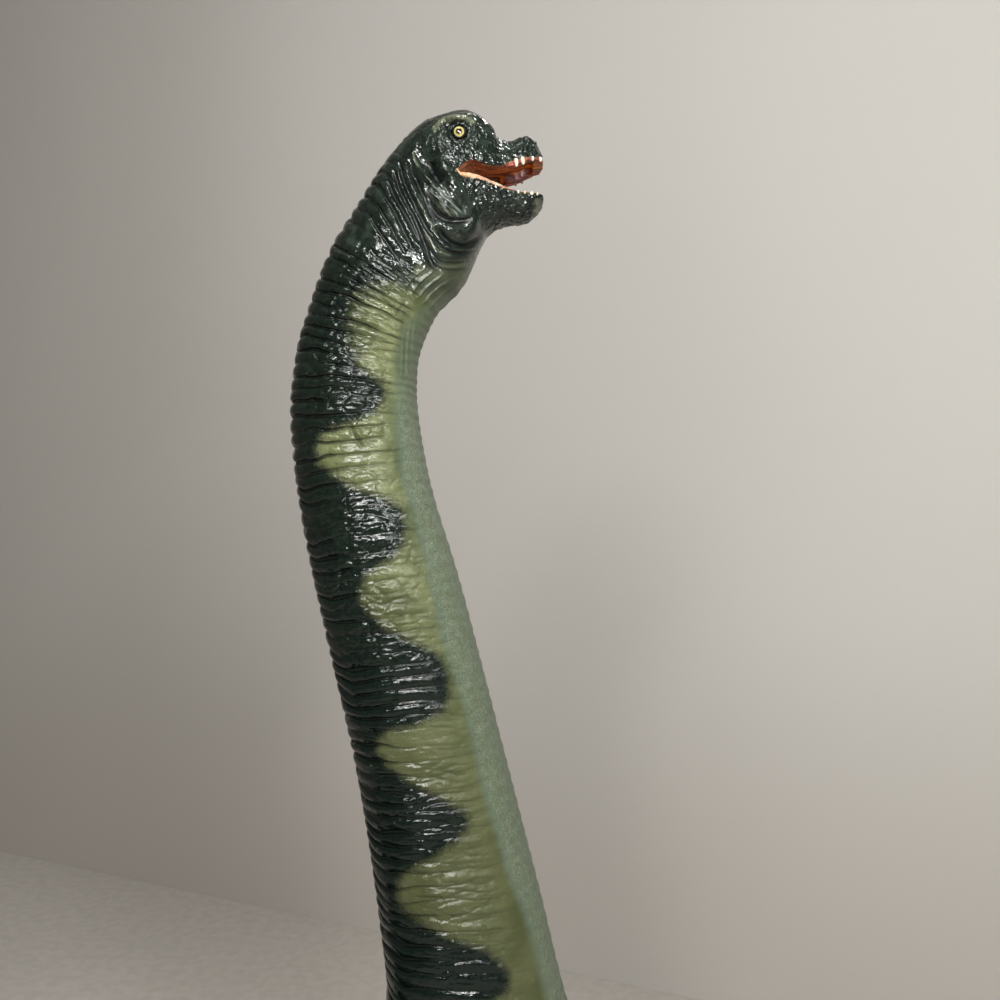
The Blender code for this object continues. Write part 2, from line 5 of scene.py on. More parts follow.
import bpy
import numpy as np
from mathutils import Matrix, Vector


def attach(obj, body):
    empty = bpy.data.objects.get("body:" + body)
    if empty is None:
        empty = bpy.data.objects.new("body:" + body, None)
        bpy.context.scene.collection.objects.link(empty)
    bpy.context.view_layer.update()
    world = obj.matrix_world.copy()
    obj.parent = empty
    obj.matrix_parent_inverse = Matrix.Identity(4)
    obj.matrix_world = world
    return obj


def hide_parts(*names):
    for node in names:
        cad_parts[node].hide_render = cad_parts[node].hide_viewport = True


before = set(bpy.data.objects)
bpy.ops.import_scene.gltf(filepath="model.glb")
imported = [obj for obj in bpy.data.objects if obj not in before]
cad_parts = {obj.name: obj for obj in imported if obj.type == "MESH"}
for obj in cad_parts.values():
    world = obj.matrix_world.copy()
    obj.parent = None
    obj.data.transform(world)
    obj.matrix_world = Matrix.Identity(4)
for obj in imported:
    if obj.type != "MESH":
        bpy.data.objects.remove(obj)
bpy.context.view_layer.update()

# Sizes of the solids, in metres
TORSO_LENGTH = 0.1423
TORSO_DEPTH = 0.0926
TORSO_WIDTH = 0.0750
CHEST_AHEAD_OF_ORIGIN = 0.1908
SHOULDER_HEIGHT = 0.1310
NECK_RISE = 0.1910
NECK_BASE_DEPTH = 0.0532
NECK_BASE_WIDTH = 0.0420
NECK_SET_BACK = 0.0300
NECK_SEAM_ABOVE_SHOULDER = 0.0060
HEAD_REACH = 0.0253
HEAD_DEPTH = 0.0276
HEAD_WIDTH = 0.0232
MOUTH_DEPTH = 0.0182
MOUTH_GAPE = 0.0080
LIP_THICKNESS = 0.0019
PALATE_RISE = 0.0022
JAW_HOLLOW = 0.0020
TONGUE_WIDTH = 0.0058
TONGUE_DEPTH = 0.0030
EYE_RADIUS = 0.0017
EYE_STANDOUT = 0.0009
TAIL_LENGTH = 0.2100
TAIL_BASE_DEPTH = 0.0330
TAIL_BASE_WIDTH = 0.0340
TAIL_SEAM_HEIGHT = 0.0893
LEG_FROM_MIDLINE = 0.0250
SEAM_GAP = 0.0003
BACK_ROUNDNESS = 2.1
BELLY_SQUARENESS = 2.6
LEG_ROUNDNESS = 2.2
TYPICAL_ASPECT = 0.88

# Sections in shares of their part's length, rise, depth and width, with the lean in degrees
NECK_SHARES = [
    (0.000, 0.000, 12, 1.000, 1.000), (-0.002, 0.094, -2, 0.744, 0.800),
    (-0.021, 0.207, -9, 0.669, 0.735), (-0.055, 0.372, -11, 0.609, 0.670),
    (-0.099, 0.553, -13, 0.586, 0.640), (-0.127, 0.664, -11, 0.549, 0.605),
    (-0.141, 0.759, -3, 0.526, 0.580), (-0.139, 0.821, 10, 0.504, 0.560),
    (-0.129, 0.866, 18, 0.489, 0.545), (-0.107, 0.920, 29, 0.508, 0.550),
    (-0.079, 0.958, 31, 0.538, 0.565), (-0.056, 1.000, 33, 0.519, 0.555),
]
HEAD_SHARES = [
    (0.117, 0.164, 44, 0.986, 0.985), (0.239, 0.285, 54, 1.000, 0.975),
    (0.374, 0.362, 63, 1.000, 0.930), (0.504, 0.389, 70, 0.971, 0.830),
    (0.613, 0.352, 73, 0.873, 0.715), (0.688, 0.283, 71, 0.739, 0.635),
    (0.777, 0.263, 73, 0.645, 0.600), (0.877, 0.300, 80, 0.609, 0.560),
    (0.943, 0.306, 84, 0.522, 0.480), (0.984, 0.294, 87, 0.384, 0.360),
    (1.000, 0.288, 88, 0.145, 0.140),
]
TORSO_SHARES = [
    (-0.211, 1.046, 12, 0.575, 0.560), (-0.222, 0.952, 22, 0.744, 0.690),
    (-0.260, 0.870, 29, 0.890, 0.790), (-0.323, 0.802, 37, 0.972, 0.867),
    (-0.408, 0.752, 45, 1.000, 0.920), (-0.531, 0.718, 55, 0.953, 0.960),
    (-0.664, 0.698, 65, 0.884, 1.000), (-0.815, 0.687, 76, 0.801, 1.000),
    (-0.959, 0.687, 83, 0.706, 0.933), (-1.093, 0.685, 84, 0.559, 0.760),
    (-1.209, 0.682, 80, 0.356, 0.453),
]
TAIL_SHARES = [
    (0.000, 0.000, 80, 1.000, 1.000), (-0.133, -0.057, 67, 0.752, 0.741),
    (-0.276, -0.115, 69, 0.570, 0.565), (-0.443, -0.175, 72, 0.418, 0.412),
    (-0.610, -0.220, 77, 0.297, 0.288), (-0.776, -0.249, 83, 0.200, 0.200),
    (-0.910, -0.256, 90, 0.127, 0.130), (-0.990, -0.250, 97, 0.062, 0.060),
    (-1.000, -0.249, 97, 0.024, 0.024),
]
FORELEG_SHARES = [
    (0.02, 0.000, 0.66, 0.92), (0.03, 0.012, 0.73, 1.00), (0.02, 0.065, 0.69, 0.95),
    (-0.02, 0.135, 0.59, 0.84), (-0.04, 0.235, 0.55, 0.79), (-0.08, 0.350, 0.61, 0.82),
    (-0.12, 0.470, 0.72, 0.89), (-0.10, 0.600, 0.87, 0.97), (-0.04, 0.740, 1.00, 1.00),
    (-0.06, 0.860, 0.98, 0.93), (-0.12, 0.945, 0.74, 0.72), (-0.18, 0.990, 0.34, 0.38),
    (-0.20, 1.000, 0.10, 0.12),
]
HINDLEG_SHARES = [
    (0.04, 0.000, 0.59, 0.88), (0.05, 0.012, 0.65, 0.96), (0.04, 0.070, 0.61, 0.90),
    (-0.02, 0.145, 0.52, 0.78), (-0.06, 0.240, 0.49, 0.74), (-0.02, 0.350, 0.56, 0.79),
    (0.07, 0.480, 0.75, 0.89), (0.08, 0.610, 0.93, 0.97), (0.02, 0.740, 1.00, 1.00),
    (-0.02, 0.850, 0.93, 0.93), (-0.04, 0.935, 0.69, 0.72), (-0.06, 0.988, 0.34, 0.38),
    (-0.06, 1.000, 0.10, 0.12),
]
# Height, depth, width, distance behind the chest, stride, stations, swells
LEG_SIZES = {
    "foreleg": (0.1190, 0.0380, 0.0256, 0.3443 * TORSO_LENGTH, 0.0090, FORELEG_SHARES,
                [(-0.48, 0.50, 0.10, 0.30, 0.050), (0.34, 0.76, 0.50, 0.42, 0.050),
                 (0.20, 0.27, 0.00, 0.26, 0.030)]),
    "hindleg": (0.1090, 0.0450, 0.0280, 0.9628 * TORSO_LENGTH, 0.0110, HINDLEG_SHARES,
                [(0.48, 0.47, 0.10, 0.30, 0.055), (-0.30, 0.78, 0.50, 0.42, 0.045),
                 (-0.34, 0.22, 0.00, 0.24, 0.035)]),
}
LEGS = [("foreleg_right", "foreleg", -1, 1), ("foreleg_left", "foreleg", 1, -1),
        ("hindleg_right", "hindleg", -1, -1), ("hindleg_left", "hindleg", 1, 1)]
NAIL_TURNS_DEG = {"foreleg": [-44, -14, 16], "hindleg": [-52, -22, 8, 38]}
NAIL_HEIGHT, NAIL_WIDTH, NAIL_STANDOUT = 0.0062, 0.0054, 0.0016
# Teeth of each flank: share of the mouth's depth, length and width in millimetres
UPPER_TEETH = [(0.665, 1.75, 1.00), (0.745, 1.65, 0.90), (0.860, 1.00, 0.75), (0.955, 1.00, 0.80)]
LOWER_TEETH = [(0.69, 0.75, 0.60), (0.77, 0.65, 0.50), (0.85, 0.80, 0.65), (0.92, 0.65, 0.50)]
TOOTH_ROOT_SHARE = 0.80
TOOTH_LEAN = 0.10
# Edges of the lips in the side view, in shares of the mouth's depth and gape from its corner
LOWER_LIP_SHARES = [(0.17, -0.14), (0.41, -0.30), (0.72, -0.46), (0.92, -0.45), (1.30, -0.36)]
LIP_LINE_SHARES = [
    (-0.01, -0.04), (0.06, 0.10), (0.15, 0.20), (0.22, 0.18), (0.34, 0.14), (0.48, 0.16),
    (0.62, 0.20), (0.72, 0.27), (0.86, 0.40), (1.00, 0.45), (1.30, 0.50),
]
MOUTH_CORNER_SHARES = (0.275, 0.245)
# Swells of the head: ahead, up, out, reach and push
HEAD_SWELL_SHARES = [
    (0.28, 0.68, 0.34, 0.13, 0.055), (0.50, 0.60, 0.26, 0.12, 0.030),
    (0.86, 0.56, 0.15, 0.10, 0.045), (0.22, 0.04, 0.46, 0.19, 0.065),
    (-0.02, 0.32, 0.46, 0.15, -0.070), (0.34, -0.14, 0.36, 0.15, 0.045),
]
EYE_SHARES = (0.281, 0.543)

# Side drawing of a flank: drawing units across and down, seen from a standpoint beside it
STANDPOINT = Vector((0.1658, -0.2200, 0.2646))
DRAWING_SIZE = 1000
DRAWING_UNIT_MM = 0.22

# Skin folds
RING_PITCH = 0.00292
RING_HEIGHT = 0.00072
RING_UNEVENNESS = 0.55
NET_HEIGHT = 0.00034
SOFT_FOLD_HEIGHT = 0.00010
CRUMPLE_HEIGHT = 0.00008
BAND_RING_HEIGHT = 0.00007
GIRTH_RADIUS = 0.0130
GIRTH_SHARE = 1.45
OCTAVE_STEP = 2.03
# Where the head's skin meets the neck's and where the head's drawn lines set in, by station number
CUT_STATION = 8.93
HEAD_LINES_FROM = 7.6
# Fineness of the skins
NECK_STEP, NECK_SIDES = 0.00024, 250
HEAD_SIDES = 180
HEAD_VOXEL = 0.00021
HEAD_FACE_LIMIT = 185000
LEG_ROWS, LEG_SIDES = 300, 168
POINTS_AT_ONCE = 20000
LEG_SEED, LEG_SEED_STEP = 201, 17
# Skin of a tube: row step, sides, girth radius, seed, lobes (pitch, notch, reach), coarseness
TORSO_TUBE = (0.00062, 330, 0.030, 101, (0.034, 0.26, 0.60), 1.15)
TAIL_TUBE = (0.00040, 132, 0.010, 151, (0.026, 0.22, 0.62), 0.95)
# Strength of the surroundings as light, as they are seen, and the share of that in reflections
WORLD_AS_LIGHT, WORLD_AS_SEEN, WORLD_IN_GLOSS = 0.13, 0.85, 0.12
# Where features of neck and head set in or end, by station number, and where those of a
# section do, by the share of the way round from the back line to the throat
LIMITS = {
    "short net": (3.3, 3.9), "above lower neck": (4.6, 6.8), "middle neck": (5.0, 6.5),
    "thin spray": (6.4, 7.4), "upper neck": (7.6, 9.2), "above folds": (8.4, 9.2),
    "jaw root": (8.8, 9.8), "above band rings": (9.6, 10.6), "back of skull": (10.5, 11.3),
    "head": (11.2, 12.4), "scaled head": (11.6, 12.8),
    "off back": (0.00, 0.28), "off crown": (0.14, 0.32), "jaw side": (0.16, 0.34),
    "net": (0.18, 0.36), "leaning rings": (0.34, 0.78), "folded flank": (0.40, 0.60),
    "below net": (0.62, 0.74), "throat": (0.68, 0.78), "body flank": (0.22, 0.50),
    "body satin": (0.55, 0.70), "body belly": (0.74, 0.86),
}
# How calm the rings lie on the flank and how strong the net is there, by station number
FLANK_CALM = [(0, 0.88), (3.2, 0.86), (3.6, 0.66), (4.1, 0.88), (4.9, 0.84), (5.5, 0.60),
              (9.0, 0.54)]
FLANK_NET = [(0, 0.90), (3.2, 0.90), (3.6, 0.75), (4.1, 1.30), (4.9, 1.35), (5.6, 0.95),
             (7.0, 1.1), (9.0, 0.9)]
# Share of the way round the side beyond which the paint turns satin, by station number
SATIN_FROM = [(0, 0.50), (3.0, 0.52), (4.0, 0.55), (5.0, 0.58), (6.0, 0.62), (9.0, 0.66)]

# Edge of the dark paint on the flank, from the throat down the neck
DARK_EDGE = [
    (560, 268), (500, 262), (462, 268), (436, 276), (412, 282), (392, 287), (373, 292), (360, 301),
    (355, 320), (355, 345), (361, 364), (374, 376), (384, 384), (386, 398), (378, 412), (362, 420),
    (342, 427), (323, 435), (317, 447), (319, 462), (333, 474), (351, 486), (372, 493), (391, 500),
    (404, 509), (407, 528), (403, 544), (393, 558), (379, 567), (366, 577), (360, 591), (362, 603),
    (371, 613), (389, 629), (416, 643), (434, 651), (446, 663), (450, 678), (450, 698), (443, 712),
    (429, 720), (409, 728), (390, 732), (379, 740), (378, 752), (386, 763), (405, 779), (426, 789),
    (447, 801), (464, 811), (470, 820), (466, 832), (454, 843), (437, 857), (415, 867), (402, 876),
    (397, 889), (399, 903), (410, 915), (434, 930), (459, 941), (485, 949), (499, 960), (511, 977),
    (508, 992), (490, 1006), (462, 1020), (436, 1034), (424, 1050), (428, 1068), (452, 1084),
    (486, 1098), (520, 1110), (548, 1126), (554, 1144), (540, 1162), (500, 1180), (460, 1196),
    (440, 1216), (450, 1240), (490, 1264),
]
# Left edge of the throat band, from the throat down to the chest
BAND_EDGE = [
    (452, 286), (428, 303), (412, 318), (402, 330), (397, 352), (395, 389), (395, 427), (402, 480),
    (412, 509), (418, 535), (425, 560), (431, 590), (441, 636), (453, 675), (464, 707), (473, 745),
    (484, 796), (497, 838), (508, 877), (521, 907), (533, 945), (542, 983), (556, 1030),
    (572, 1090), (590, 1160),
]

# Creases, ridges and pads of head and throat: line, half width, height in millimetres
HEAD_STROKES = [
    ([(413, 148), (413.5, 158), (418, 168), (427, 177), (437, 185)], 2.6, 0.50),
    ([(428, 161), (431, 169), (436, 176), (441, 183)], 4.6, -1.60),
    ([(439, 157), (444, 166), (450, 177), (458, 190)], 4.2, 0.60),
    ([(430, 187), (440, 199), (450, 209), (461, 212)], 7.5, 0.70),
    ([(426, 188), (431, 203), (438, 214), (451, 220), (464, 221), (475, 216)], 3.0, -1.15),
    ([(443, 223), (455, 231), (466, 233), (480, 227)], 5.0, 0.55),
    ([(436, 225), (444, 237), (456, 245), (468, 246), (481, 237)], 2.8, -1.20),
    ([(446, 246), (458, 249.5), (470, 249)], 1.6, 0.28),
    ([(431, 231), (438, 243), (447, 251), (461, 253.5), (478, 250)], 1.9, -0.70),
    ([(427, 240), (433, 254), (441, 262), (454, 264), (474, 261)], 1.9, -0.62),
    ([(438, 255), (450, 259), (474, 256)], 1.4, -0.35),
    ([(439, 269), (455, 271), (470, 268)], 1.6, -0.40),
    ([(409, 207), (417, 224), (424, 241), (429, 257), (434, 266), (442, 270)], 2.6, -1.10),
    ([(399, 156), (401, 173), (407, 189), (415, 205), (423, 221), (431, 236)], 2.1, -0.92),
    ([(411, 160), (412, 171), (418, 184), (424, 197), (429, 210), (436, 224)], 2.2, -0.95),
    ([(405, 158), (407, 174), (413, 189), (420, 204), (427, 219)], 2.2, 0.36),
    ([(393, 166), (397, 184), (404, 199), (411, 213)], 1.8, -0.78),
    ([(386, 174), (391, 190), (398, 203), (407, 217), (414, 231), (421, 245)], 1.9, -0.85),
    ([(378, 183), (385, 197), (393, 209), (400, 223), (407, 238), (413, 250)], 1.8, -0.72),
    ([(372, 196), (380, 210), (389, 224), (397, 239), (406, 254)], 1.6, -0.58),
    ([(364, 206), (373, 222), (383, 237), (393, 252), (401, 264)], 1.5, -0.50),
    ([(428, 119), (445, 110), (463, 106), (480, 110), (491, 121)], 9.0, -0.62),
    ([(436, 128), (441, 122), (449, 118), (460, 117.5), (470, 122)], 3.0, 0.75),
    ([(462, 114), (472, 114), (481, 119), (487, 127)], 2.6, 0.50),
    ([(446, 129), (451, 123.6), (460, 122.4), (469, 126)], 1.7, -0.60),
    ([(521, 140), (528, 138), (535, 143)], 6.0, -0.55),
    ([(447, 136), (453, 143), (463, 146)], 1.6, 0.24),
    ([(444, 139), (451, 147), (462, 150)], 1.2, -0.22),
    ([(441, 144), (449, 152), (459, 156)], 1.3, -0.20),
    ([(473, 127), (478, 135), (482, 142)], 1.6, 0.22),
    ([(477, 126), (483, 134), (488, 141)], 1.4, -0.18),
    ([(462, 165), (471, 158), (482, 160)], 2.2, -0.20),
    ([(484, 163), (500, 163.5), (515, 159)], 2.0, 0.16),
    ([(523, 146), (528, 144), (533, 148)], 2.0, 0.18),
    ([(511, 151), (516, 156)], 1.6, 0.18),
    ([(465, 183), (485, 187), (508, 194), (530, 200)], 2.4, 0.10),
    ([(532, 196), (531, 206), (529, 217)], 1.3, -0.22),
    ([(432, 186), (442, 197), (454, 209)], 0.8, -0.20),
    ([(436, 184), (447, 196), (459, 208)], 0.8, -0.20),
    ([(441, 184), (451, 195), (463, 208)], 0.8, -0.20),
    ([(429, 190), (438, 201), (448, 211)], 0.8, -0.18),
    ([(446, 186), (455, 197), (466, 208)], 0.8, -0.16),
]
# The neck's forked crease, the throat's cords and the slack below the jaw
NECK_STROKES = [
    ([(343, 414), (351, 421), (358, 432), (368, 448)], 1.7, 0.34),
    ([(366, 413), (360, 418), (354, 424)], 1.4, 0.26),
    ([(349, 427), (355, 437), (364, 451)], 1.3, -0.28),
    ([(406, 322), (403, 345), (402, 372), (404, 392)], 0.9, 0.24),
    ([(411, 318), (408, 342), (407, 368), (408, 386)], 0.9, 0.24),
    ([(416, 318), (413, 338), (412, 362)], 0.9, 0.20),
    ([(398, 300), (401, 315), (400, 330)], 0.9, 0.20),
    ([(414, 303), (427, 287), (444, 274)], 1.0, 0.34),
    ([(420, 307), (435, 290), (452, 279)], 1.0, 0.32),
    ([(410, 296), (421, 281), (436, 269)], 1.0, 0.34),
    ([(428, 309), (442, 294), (456, 284)], 0.9, 0.28),
    ([(404, 291), (414, 277), (426, 268)], 1.0, 0.30),
    ([(434, 306), (448, 293), (462, 281)], 1.0, 0.26),
    ([(442, 289), (454, 279), (468, 271)], 1.0, 0.26),
    ([(407, 300), (399, 312), (398, 324)], 1.2, -0.30),
    ([(400, 262), (408, 272), (418, 278)], 1.4, -0.36),
    ([(392, 266), (402, 277), (412, 286)], 1.4, -0.34),
]
# Darker olive over the olive: sprayed strips along the band's edge, and painted shade under the jaw
# and over the throat: line, half width, strength
SHADES = [
    ([(386, 232), (410, 254), (434, 268), (474, 264)], 17, 1.0),
    ([(398, 276), (430, 283), (462, 284)], 16, 1.0),
    ([(404, 290), (402, 330), (400, 380)], 6, 0.35),
    ([(408, 500), (414, 545), (424, 585)], 5, 0.35),
    ([(395, 440), (400, 480)], 5, 0.25), ([(452, 244), (468, 236), (480, 222)], 18, 1.0),
    ([(440, 262), (470, 256)], 14, 1.0),
    ([(424, 296), (444, 280), (466, 268)], 15, 0.85),
]
NOSTRIL, EYE_ON_DRAWING = (529.5, 149.0), (460, 133)
SMOOTH_CHEEK = [(430, 165), (440, 180), (450, 200)]
SMOOTH_CROWN = [(414, 130), (428, 119), (445, 111), (463, 108), (480, 112), (493, 126)]
JAW_PAD = [(429, 186), (438, 199), (449, 209), (462, 211)]
# Olive and tan sprayed over the dark head, two marks of which are painted highlight: line, half
# width, strength
TINTS_AND_HIGHLIGHTS = [
    ([(432, 133), (439, 123), (448, 118.5), (460, 117), (470, 120), (477, 125)], 3.6, 1.0),
    ([(444, 126), (441, 134), (443, 142)], 3.0, 0.45),
    ([(413, 151), (415, 161), (420, 170)], 2.4, 0.70), ([(424, 176), (434, 184)], 2.4, 0.40),
    # painted highlight: this mark and the next lighten the bulge behind the jaw and the ridge
    # beside the hollow
    ([(429, 192), (436, 203), (447, 212), (459, 214)], 4.0, 0.50),
    ([(441, 162), (448, 172), (456, 184)], 3.0, 0.42),
    ([(537, 198), (538, 207), (534, 215)], 4.2, 0.80),
    ([(500, 158), (511, 157.5)], 2.4, 0.50), ([(535, 156), (541, 159)], 2.6, 0.60),
    ([(417, 198), (424, 212), (432, 226), (441, 240)], 3.0, 0.50),
    ([(419, 228), (430, 242), (440, 251), (455, 256)], 4.0, 0.55),
    ([(436, 262), (452, 266), (470, 262)], 7.0, 0.60),
    ([(412, 268), (430, 276), (450, 276)], 12, 0.70),
]
# Flesh paint on the lips
LIP_PAINT = [
    (456, 169), (460, 174.5), (466, 176.6), (472, 177.4), (479, 178.4), (488, 181.4), (496, 185.2),
    (508, 189.0), (520, 191.6), (533, 193.0), (546, 191), (546, 157.5), (535, 157.5), (527, 157.2),
    (519, 159.5), (512, 161.5), (500, 166), (488, 165), (477, 161.5), (471, 160), (464, 164),
]


# ---- smooth rows, sections and noise

def smooth_rows(rows, places):
    """Values along a smooth curve through given rows, at fractional row numbers."""
    rows = np.asarray(rows, float)
    last = len(rows) - 1
    places = np.asarray(places, float)
    index = np.clip(places.astype(int), 0, last - 1)
    part = (places - index)[:, None]
    before, start, end, after = (rows[np.clip(index + shift, 0, last)] for shift in (-1, 0, 1, 2))
    return 0.5 * (2 * start + (end - before) * part
                  + (2 * before - 5 * start + 4 * end - after) * part ** 2
                  + (3 * start - before - 3 * end + after) * part ** 3)


def run_of(steps):
    """How far a line has run at each of its points, from the steps between them."""
    return np.concatenate([[0], np.cumsum(steps)])


def oval(turns, roundness=None):
    """Outline of a section, toward the back and out to the side, from -1 to 1."""
    if roundness is None:
        roundness = np.where(np.cos(turns) > 0, BACK_ROUNDNESS, BELLY_SQUARENESS)
    return (np.sign(np.cos(turns)) * np.abs(np.cos(turns)) ** (2 / roundness),
            np.sign(np.sin(turns)) * np.abs(np.sin(turns)) ** (2 / roundness))


def oval_turns(sides):
    """Turns spread evenly round a typical section, from the back line and round."""
    turns = np.linspace(0, 2 * pi, 4001)
    toward, out = oval(turns)
    run = run_of(np.hypot(np.diff(toward), np.diff(out) * TYPICAL_ASPECT))
    return np.interp(np.arange(sides) / sides * run[-1], run, turns)


def half_turns(turns):
    """Turns counted from the back line both ways round."""
    return np.where(turns > pi, turns - 2 * pi, turns)


def ring_points(stations, turns, aside=0, roundness=None):
    """Skin points: one row for each station (forward, up, lean, depth, width)."""
    toward, out = oval(turns, roundness)
    forward, up, lean, depth, width = np.asarray(stations, float).T
    lean = np.radians(lean)
    along_back = toward[None] * depth[:, None] / 2
    points = np.empty((len(forward), len(turns), 3))
    points[..., 0] = forward[:, None] - np.cos(lean)[:, None] * along_back
    points[..., 1] = aside + out[None] * width[:, None] / 2
    points[..., 2] = up[:, None] + np.sin(lean)[:, None] * along_back
    return points


def grid_normals(points):
    around = np.roll(points, -1, 1) - np.roll(points, 1, 1)
    along = np.gradient(points, axis=0)
    normals = np.cross(around, along)
    normals /= np.maximum(np.linalg.norm(normals, axis=2, keepdims=True), 1e-12)
    middle = points.mean(1, keepdims=True)
    return -normals if np.sum((points - middle) * normals) < 0 else normals


def chance(x, y, z, seed):
    """A fixed random number for each whole place."""
    mixed = (x.astype(np.int64) * 374761393 + y.astype(np.int64) * 668265263
             + z.astype(np.int64) * 1274126177 + seed * 144269) & 0xffffffff
    mixed = ((mixed ^ (mixed >> 13)) * 1274126177) & 0xffffffff
    return ((mixed ^ (mixed >> 16)) & 0xffffff) / float(0xffffff)


def noise(x, y, z, seed=0):
    """Smooth noise from -1 to 1."""
    places = np.broadcast_arrays(x, y, z)
    low = [np.floor(value) for value in places]
    part = [value - floor for value, floor in zip(places, low)]
    eased = [share * share * share * (share * (share * 6 - 15) + 10) for share in part]
    total = 0
    for corner in range(8):
        steps = (corner & 1, corner >> 1 & 1, corner >> 2 & 1)
        weight = 1
        for step, share in zip(steps, eased):
            weight = weight * (share if step else 1 - share)
        total = total + weight * chance(*(floor + step for floor, step in zip(low, steps)), seed)
    return total * 2 - 1


def clouds(x, y, z, seed=0):
    """Noise in three sizes, the finer ones weaker."""
    total, size, norm = 0, 1.0, 0
    for octave in range(3):
        grow = OCTAVE_STEP ** octave
        total = total + size * noise(x * grow, y * grow, z * grow, seed + octave * 31)
        norm += size
        size *= 0.5
    return total / norm


def cells(x, y, z, seed=0):
    """Distances to the nearest and next of scattered cell middles, and the cell's own chance."""
    shape = np.shape(x)
    x, y, z = (np.ravel(value) for value in (x, y, z))
    low = [np.floor(value) for value in (x, y, z)]
    first, second, own = (np.full(x.shape, start) for start in (9.0, 9.0, 0.0))
    for steps in product((-1, 0, 1), repeat=3):
        cell = [floor + step for floor, step in zip(low, steps)]
        spots = [c + 0.15 + 0.7 * chance(*cell, seed + k) for k, c in enumerate(cell)]
        apart = np.sqrt((x - spots[0]) ** 2 + (y - spots[1]) ** 2 + (z - spots[2]) ** 2)
        nearer = apart < first
        second = np.where(nearer, first, np.minimum(second, apart))
        own = np.where(nearer, chance(*cell, seed + 7), own)
        first = np.where(nearer, apart, first)
    return first.reshape(shape), second.reshape(shape), own.reshape(shape)


def ease(value, low, high):
    """0 below low, 1 above high and smooth between."""
    share = np.clip((value - low) / (high - low), 0, 1)
    return share * share * (3 - 2 * share)


def past(place, name):
    """0 before the limits of a named feature, 1 past them."""
    return ease(place, *LIMITS[name])


def hump(value, middle, reach):
    """1 at the middle, falling off smoothly within a few reaches."""
    return np.exp(-((value - middle) / reach) ** 2)


# ---- lines of trunk and tail: stations are (forward, up, lean in degrees, depth, width)

def stations_of(shares, start, length, rise, depth, width):
    """Stations from a table of shares, counted from a starting point."""
    return [(start[0] + ahead * length, start[1] + above * rise, lean, deep * depth, wide * width)
            for ahead, above, lean, deep, wide in shares]


def neck_seam():
    forward = CHEST_AHEAD_OF_ORIGIN - NECK_SET_BACK
    up = SHOULDER_HEIGHT + NECK_SEAM_ABOVE_SHOULDER
    return forward, up, NECK_SHARES[0][2], NECK_BASE_DEPTH, NECK_BASE_WIDTH


def head_point(ahead, rise):
    """A place in the side view of the head, in shares of its reach from the nape."""
    forward, up = neck_seam()[:2]
    nape = forward + NECK_SHARES[-1][0] * NECK_RISE, up + NECK_SHARES[-1][1] * NECK_RISE
    return nape[0] + ahead * HEAD_REACH, nape[1] + rise * HEAD_REACH


def head_stations():
    return stations_of(HEAD_SHARES, head_point(0, 0), HEAD_REACH, HEAD_REACH,
                       HEAD_DEPTH, HEAD_WIDTH)


def neck_stations():
    return stations_of(NECK_SHARES, neck_seam(), NECK_RISE, NECK_RISE,
                       NECK_BASE_DEPTH, NECK_BASE_WIDTH)


def torso_stations():
    stations = stations_of(TORSO_SHARES, (CHEST_AHEAD_OF_ORIGIN, 0), TORSO_LENGTH, SHOULDER_HEIGHT,
                           TORSO_DEPTH, TORSO_WIDTH)
    return [neck_seam()] + stations[1:-1] + [tail_seam()]


def tail_seam():
    forward = CHEST_AHEAD_OF_ORIGIN + TORSO_SHARES[-1][0] * TORSO_LENGTH
    return forward, TAIL_SEAM_HEIGHT, TORSO_SHARES[-1][2], TAIL_BASE_DEPTH, TAIL_BASE_WIDTH


def tail_stations():
    return stations_of(TAIL_SHARES, tail_seam(), TAIL_LENGTH, TAIL_LENGTH,
                       TAIL_BASE_DEPTH, TAIL_BASE_WIDTH)


def edge_run(line, side):
    """How far the back (side 1) or front (side -1) of a line of sections has run."""
    lean = np.radians(line[:, 2])
    edge = np.stack([line[:, 0] - side * np.cos(lean) * line[:, 3] / 2,
                     line[:, 1] + side * np.sin(lean) * line[:, 3] / 2], 1)
    return run_of(np.linalg.norm(np.diff(edge, axis=0), axis=1))


TRUNK = neck_stations() + head_stations()
TRUNK_PLACES = np.linspace(0, len(TRUNK) - 1, 2201)
TRUNK_LINE = smooth_rows(TRUNK, TRUNK_PLACES)
TRUNK_RUN = edge_run(TRUNK_LINE, 1)


def trunk_place(points):
    """Station number, turn and closeness to the skin (1 on it) of each point near the trunk."""
    places, line = TRUNK_PLACES[::4], TRUNK_LINE[::4]
    forward, up = line[:, 0], line[:, 1]
    lean = np.radians(line[:, 2])
    numbers = np.empty(len(points))
    for start in range(0, len(points), POINTS_AT_ONCE):
        part = points[start:start + POINTS_AT_ONCE]
        across = part[:, 0, None] - forward
        above = part[:, 2, None] - up
        ahead = across * np.sin(lean) + above * np.cos(lean)
        passed = (ahead[:, :-1] >= 0) & (ahead[:, 1:] < 0)
        cost = across[:, :-1] ** 2 + above[:, :-1] ** 2 + np.where(passed, 0, 1.0)
        pick = cost.argmin(1)
        rows = np.arange(len(part))
        near, far = ahead[rows, pick], ahead[rows, pick + 1]
        share = np.clip(near / np.where(near - far == 0, 1, near - far), 0, 1)
        numbers[start:start + POINTS_AT_ONCE] = places[pick] + share * (places[1] - places[0])
    line = smooth_rows(TRUNK, numbers)
    lean = np.radians(line[:, 2])
    toward = ((points[:, 2] - line[:, 1]) * np.sin(lean)
              - (points[:, 0] - line[:, 0]) * np.cos(lean)) / (line[:, 3] / 2)
    out = points[:, 1] / (line[:, 4] / 2)
    shape = np.where(toward > 0, BACK_ROUNDNESS, BELLY_SQUARENESS)
    closeness = (np.abs(toward) ** shape + np.abs(out) ** shape) ** (1 / shape)
    turn = np.arctan2(np.sign(out) * np.abs(out) ** (shape / 2),
                      np.sign(toward) * np.abs(toward) ** (shape / 2))
    return numbers, turn, closeness


# ---- strokes and patches on the side drawing

